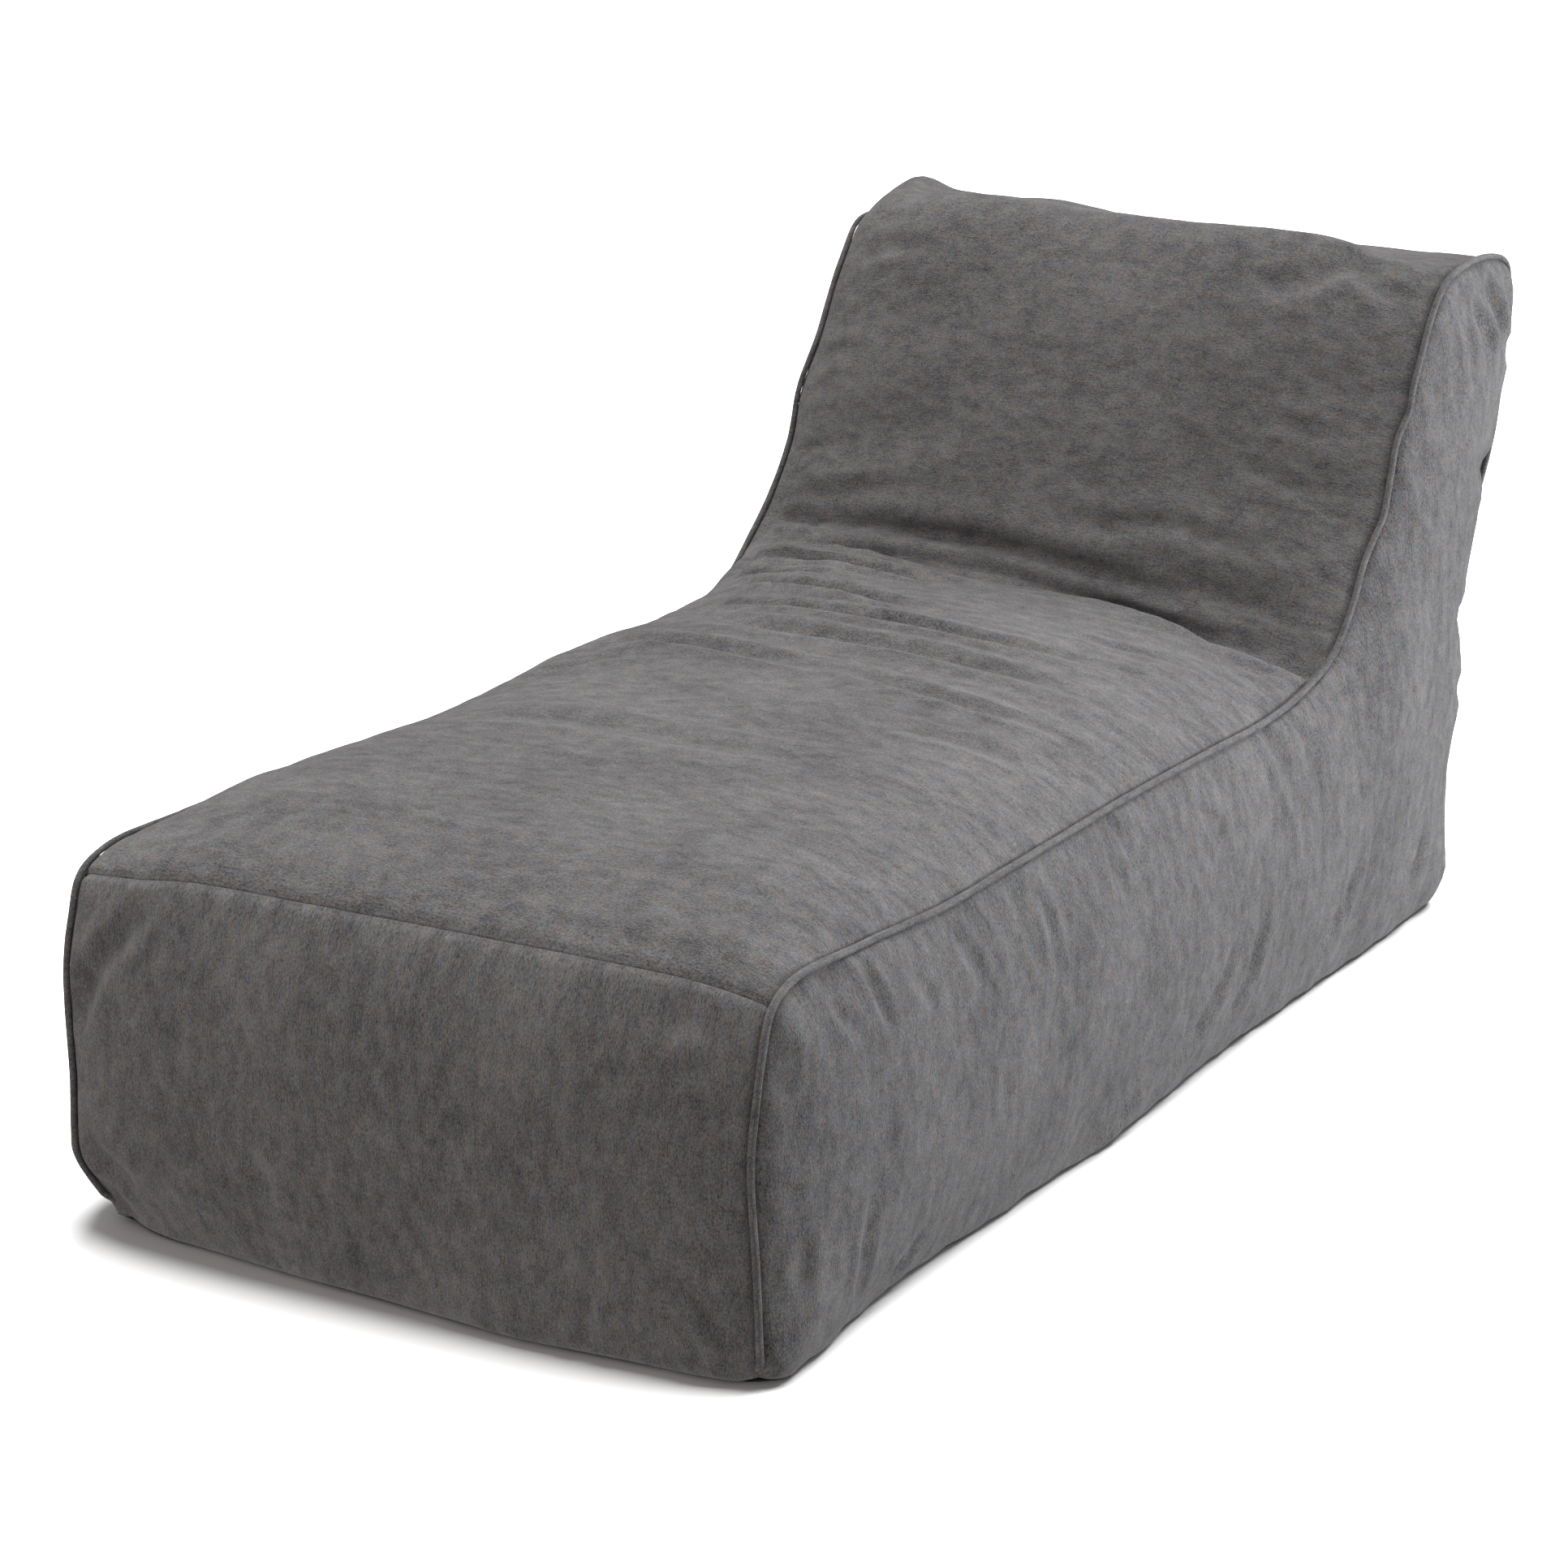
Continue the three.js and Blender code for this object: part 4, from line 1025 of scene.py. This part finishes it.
def zip_coil(node_name, reach, shift):
    """Half of the chain: one filament in a long flat coil, its loops reaching between the other half's."""
    place, size = middle(node_name)
    turns = int(size.x / COIL_PITCH) - 1
    angle = np.linspace(0, turns * 2 * math.pi, turns * 12 + 1)
    x = place.x - turns * COIL_PITCH / 2 + angle / (2 * math.pi) * COIL_PITCH + shift * COIL_PITCH
    y = place.y + (size.y / 2 - COIL_WIRE) * np.cos(angle)
    z = place.z + reach / 2 + ((size.z + abs(reach)) / 2 - COIL_WIRE) * np.sin(angle)
    path = np.stack([x, y, z], -1)
    tangent = unit(np.gradient(path, axis=0))
    across = unit(np.cross(tangent, np.array([1.0, 0, 0])))
    rings = tube(path, across, np.cross(tangent, across), HEXAGON * COIL_WIRE)
    coil = new_piece(node_name + "_filament", rings, tube_faces(len(path), 6), COIL)
    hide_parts(node_name)


def stitches():
    """A row of single thread stitches above the zip and one below it, lying on the cloth."""
    along, thickness = np.array([[-0.5, 0.35], [-0.36, 1.0], [0.36, 1.0], [0.5, 0.35]]).T
    section = THREAD_RADIUS * thickness[:, None, None] * HEXAGON
    side_on, up = np.tile([0, 0, 1.0], (4, 1)), np.tile([0, 1.0, 0], (4, 1))
    reach = ZIP_WINDOW_X + 0.004
    rise = ZIP_WINDOW_HALF + 0.003
    vertices, faces = [], []
    for z in (ZIP_MIDDLE_Z + rise, ZIP_MIDDLE_Z - rise):
        for x in np.arange(-reach, reach - STITCH, STITCH + STITCH_GAP):
            path = np.array([[x + (0.5 + share) * STITCH, REAR_Y + 0.0001, z] for share in along])
            faces += [[corner + len(vertices) for corner in face] for face in tube_faces(4, 6)]
            vertices += tube(path, side_on, up, section).reshape(-1, 3).tolist()
    piece = new_piece("zip_stitching", vertices, faces, THREAD)
    set_weave(piece.data, np.array(vertices)[:, [0, 2]])


def add_zips():
    for bag in ("", "liner_"):
        zip_tape(bag + "zip_tape_upper")
        zip_tape(bag + "zip_tape_lower")
        zip_coil(bag + "zip_coil_upper", -TEETH, 0.0)
        zip_coil(bag + "zip_coil_lower", TEETH, 0.5)
    stitches()
    for name in METAL_PARTS:
        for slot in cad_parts[name].material_slots:
            slot.material = METAL


# ---------------------------------------------------------------- care label
def care_label():
    """A blank satin label, sewn into the left rear seam, its free edge curling away."""
    place, size = middle("care_label")
    v, u = np.meshgrid(np.linspace(0, 1, 26), np.linspace(0, 1, 18), indexing="ij")
    x = place.x + (u - 0.5) * size.x
    z = place.z + (v - 0.5) * size.z
    grid = pull_corners(np.dstack([x, REAR_Y + 0 * x, z]))
    curl = 0.0045 * u ** 2 * (0.55 + 0.45 * np.cos(2.6 * (v - 0.2)))
    grid[..., 1] += 0.0007 + curl + 0.0006 * np.sin(5 * v + 2 * u) * u
    grid, weave = grid[:, ::-1], np.dstack([x, z])[:, ::-1]
    piece = cloth_sheet("care_label_cloth", grid, weave, 1, LABEL, LABEL_CLOTH)
    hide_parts("care_label")


# ---------------------------------------------------------------- liner and filling
def stuffed_body_mesh(strip, right, left):
    """The stuffed cover as one closed surface: its vertices, faces and outward normals."""
    run, x = np.meshgrid(np.linspace(0, RUN_END, strip.shape[0]),
                         np.linspace(-HALF_WIDTH, HALF_WIDTH, strip.shape[1]), indexing="ij")
    places = np.dstack([x, run])
    folds = sum(fold(places, route, 1.3 * depth, 1.5 * width, 0) for route, depth, width, _ in STRIP_FOLDS)
    strip = strip + normals(strip) * folds[..., None]
    vertices, faces = [], []
    for grid, flip in ((strip, False), (right, True), (left, False)):
        faces.append(grid_faces(*grid.shape[:2], flip) + sum(len(part) for part in vertices))
        vertices.append(grid.reshape(-1, 3))
    rim = np.concatenate([strip[0], right[:, 0], strip[-1, ::-1], left[::-1, 0]])
    start = sum(len(part) for part in vertices)
    vertices += [rim, rim.mean(0)[None]]
    fan = [[start + k, start + len(rim), start + (k + 1) % len(rim)] for k in range(len(rim))]
    piece = new_mesh_object("stuffed", np.concatenate(vertices), np.concatenate(faces).tolist() + fan)
    remesh = piece.modifiers.new("remesh", "REMESH")
    remesh.mode = "VOXEL"
    remesh.voxel_size = VOXEL
    piece.modifiers.new("smooth", "SMOOTH").iterations = 6
    result = piece.evaluated_get(bpy.context.evaluated_depsgraph_get()).data
    points = np.array([tuple(v.co) for v in result.vertices])
    outward = np.array([tuple(v.normal) for v in result.vertices])
    quads = [tuple(face.vertices) for face in result.polygons]
    drop(piece)
    return points, quads, outward


def closed_piece(name, points, quads, material):
    piece = new_piece(name, points, quads, material)
    x, y, z = points.T
    set_weave(piece.data, np.stack([x + 0.35 * y, y + z], -1))
    return piece


def liner(points, quads, outward):
    """The inner bag: two faces of one thin cloth, flat behind its zip."""
    tape_low, tape_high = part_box("liner_zip_tape_lower")[0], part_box("liner_zip_tape_upper")[1]
    ripple = 0.0016 * noise_plane(points[:, 0] + points[:, 2], points[:, 1], 0.05, 0.07, 500)
    outer = points - outward * (LINER_GAP + ripple)[:, None]
    outer[:, 2] = np.maximum(outer[:, 2], 0.006)
    zip_y = tape_low.y - 0.0006
    x, y, z = outer.T
    near = step(0, 0.05, 0.05 + tape_high.x - np.abs(x))
    near = near * step(0, 0.03, 0.03 + tape_high.z - z) * step(0, 0.03, 0.03 + z - tape_low.z)
    outer[:, 1] += (zip_y - y) * near * (y > zip_y - 0.03)
    inner = outer - outward * LINER_CLOTH
    faces = quads + [[corner + len(outer) for corner in reversed(face)] for face in quads]
    piece = closed_piece("liner_bag_cloth", np.concatenate([outer, inner]), faces, LINER)
    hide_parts("liner_bag")


def bead_fill(points, quads, outward):
    """The beads: the inside of the liner, parted where the backrest rises from the seat."""
    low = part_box("back_bead_fill")[0]
    x, y, z = points.T
    lumps = 0.0025 * noise_plane(x * 1.3 + z, y - z, 0.022, 0.026, 510)
    inside = points - outward * (FILL_GAP + lumps)[:, None]
    inside[:, 2] = np.maximum(inside[:, 2], 0.009)
    beyond = 2.0
    corners = [(side, back, up) for side in (-1, 1) for back in (low.y, beyond) for up in (low.z, beyond)]
    sides = [(0, 1, 3, 2), (4, 6, 7, 5), (0, 4, 5, 1), (2, 3, 7, 6), (0, 2, 6, 4), (1, 5, 7, 3)]
    parting = new_mesh_object("parting", corners, sides)
    for name, operation, node_name in (
        ("back_beads", "INTERSECT", "back_bead_fill"), ("seat_beads", "DIFFERENCE", "seat_bead_fill"),
    ):
        piece = closed_piece(name, inside, quads, BEADS)
        cut = piece.modifiers.new("parting", "BOOLEAN")
        cut.operation = operation
        cut.object = parting
        cut.solver = "EXACT"
        result = bpy.data.meshes.new_from_object(piece.evaluated_get(bpy.context.evaluated_depsgraph_get()))
        piece.modifiers.clear()
        piece.data = result
        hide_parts(node_name)
    drop(parting)


# ---------------------------------------------------------------- the whole lounger
def build():
    strip = settled_strip()
    panels = strip_covers(strip)
    right = side_cover(1, "right")
    left = side_cover(-1, "left")
    base_cover(panels["front_cover"][0], panels["rear_zip_strip"][-1], left[:, 0], right[:, 0])
    piping(1, "right")
    piping(-1, "left")
    add_zips()
    care_label()
    stuffed = stuffed_body_mesh(strip, right, left)
    liner(*stuffed)
    bead_fill(*stuffed)


# ---------------------------------------------------------------- camera, light and floor
CAMERA_AZIMUTH = math.radians(29.39)
CAMERA_ELEVATION = math.radians(16.93)
CAMERA_ROLL = math.radians(0.26)
CAMERA_DISTANCE = 4.364
CAMERA_TARGET = Vector((-0.0785, -0.0207, 0.2467))
CAMERA_LENS = 100.2
SUNS = (  # name, direction towards it, strength, angular size in degrees, colour
    ("top_light", (0.00, 0.30, 0.95), 2.25, 70, (1.0, 0.99, 0.985)),
    ("left_fill", (-0.60, -0.55, 0.58), 0.38, 100, (1.0, 0.97, 0.94)),
)
SOFTBOX_PLACE = (2.60, 1.70, 0.50)
SOFTBOX_TARGET = (0.35, 0.30, 0.25)
SOFTBOX_SIZE = (1.6, 1.1)
SOFTBOX_POWER = 90
SOFTBOX_COLOUR = (0.965, 0.975, 1.0)
FLOOR_LIGHT = 10.0
FLOOR_LIGHT_FROM = (0.12, 0.25, 0.96)
FLOOR_LIGHT_ANGLE = math.radians(50)
BACKDROP = 1.1  # brightness of what is seen behind
SKY = 0.50  # light from above
BOUNCE = 0.56  # and from below
RIGHT_SHARE = 0.45  # how much of both comes from the side where the softbox stands
WARM_SIDE = (1.0, 0.915, 0.865)  # tint of the light that comes from the foot end
COOL_SIDE = (0.985, 0.99, 1.0)


def add_camera():
    data = bpy.data.cameras.new("camera")
    data.lens = CAMERA_LENS
    data.sensor_width = 36
    camera = new_object("camera", data)
    flat = math.cos(CAMERA_ELEVATION)
    back = Vector((
        math.sin(CAMERA_AZIMUTH) * flat, -math.cos(CAMERA_AZIMUTH) * flat, math.sin(CAMERA_ELEVATION)
    ))
    camera.location = CAMERA_TARGET + back * CAMERA_DISTANCE
    turned = (-back).to_track_quat("-Z", "Y").to_euler()
    turned.rotate_axis("Z", CAMERA_ROLL)
    camera.rotation_euler = turned
    bpy.context.scene.camera = camera


def add_light(name, kind, energy, towards, things, colour=(1, 1, 1), **values):
    """A light that falls on these things alone, shining from the direction towards."""
    data = bpy.data.lights.new(name, kind)
    data.energy = energy
    data.color = colour
    for key, value in values.items():
        setattr(data, key, value)
    light = new_object(name, data)
    light.rotation_euler = Vector(towards).to_track_quat("Z", "Y").to_euler()
    group = bpy.data.collections.new(name + "_falls_on")
    for thing in things:
        group.objects.link(thing)
    light.light_linking.receiver_collection = group
    return light


def add_lights(pieces, floor):
    for name, direction, strength, angle, colour in SUNS:
        add_light(name, "SUN", strength, direction, pieces, colour, angle=math.radians(angle))
    towards = Vector(SOFTBOX_PLACE) - Vector(SOFTBOX_TARGET)
    width, height = SOFTBOX_SIZE
    softbox = add_light("side_softbox", "AREA", SOFTBOX_POWER, towards, pieces, SOFTBOX_COLOUR,
                        shape="RECTANGLE", size=width, size_y=height)
    softbox.location = SOFTBOX_PLACE
    add_light("floor_light", "SUN", FLOOR_LIGHT, FLOOR_LIGHT_FROM, [floor], angle=FLOOR_LIGHT_ANGLE)


def add_world():
    """Soft light from all around, warmer from the foot end and weaker from the softbox's side."""
    world = bpy.data.worlds.new("studio")
    bpy.context.scene.world = world
    world.use_nodes = True
    world.node_tree.nodes.clear()
    axes = node(world, "SeparateXYZ", {0: node(world, "TexCoord").outputs["Generated"]}).outputs

    def over(axis, low, high, first, last):
        """A value that goes from first to last while the direction's axis goes from low to high."""
        inputs = {"Value": axes[axis], "From Min": low, "From Max": high, "To Min": first, "To Max": last}
        return node(world, "MapRange", inputs).outputs[0]

    factors = {0: over("Z", -0.15, 0.15, BOUNCE, SKY), 1: over("X", -0.1, 0.9, 1.0, RIGHT_SHARE)}
    strength = node(world, "Math", factors, operation="MULTIPLY").outputs[0]
    tint = ramp(world, over("Y", -0.9, 0.1, 0.0, 1.0), ((0, WARM_SIDE), (1, COOL_SIDE)))
    light = node(world, "Background", {"Strength": strength, "Color": tint})
    backdrop = node(world, "Background", {"Strength": BACKDROP, "Color": (1, 1, 1, 1)})
    seen = node(world, "LightPath").outputs["Is Camera Ray"]
    mix = node(world, "MixShader", {0: seen, 1: light.outputs[0], 2: backdrop.outputs[0]})
    node(world, "OutputWorld", {0: mix.outputs[0]})
    bpy.context.scene.view_settings.view_transform = "Standard"


def add_floor():
    half = 30
    corners = [(-half, -half, 0), (half, -half, 0), (half, half, 0), (-half, half, 0)]
    floor = new_mesh_object("floor", corners, [(0, 1, 2, 3)])
    floor.data.materials.append(new_material("pale_floor", (0.8, 0.8, 0.8), 1, specular=0))
    floor.visible_diffuse = False
    floor.visible_glossy = False
    return floor


build()
add_camera()
pieces = [thing for thing in bpy.data.objects if thing.type == "MESH"]
add_lights(pieces, add_floor())
add_world()
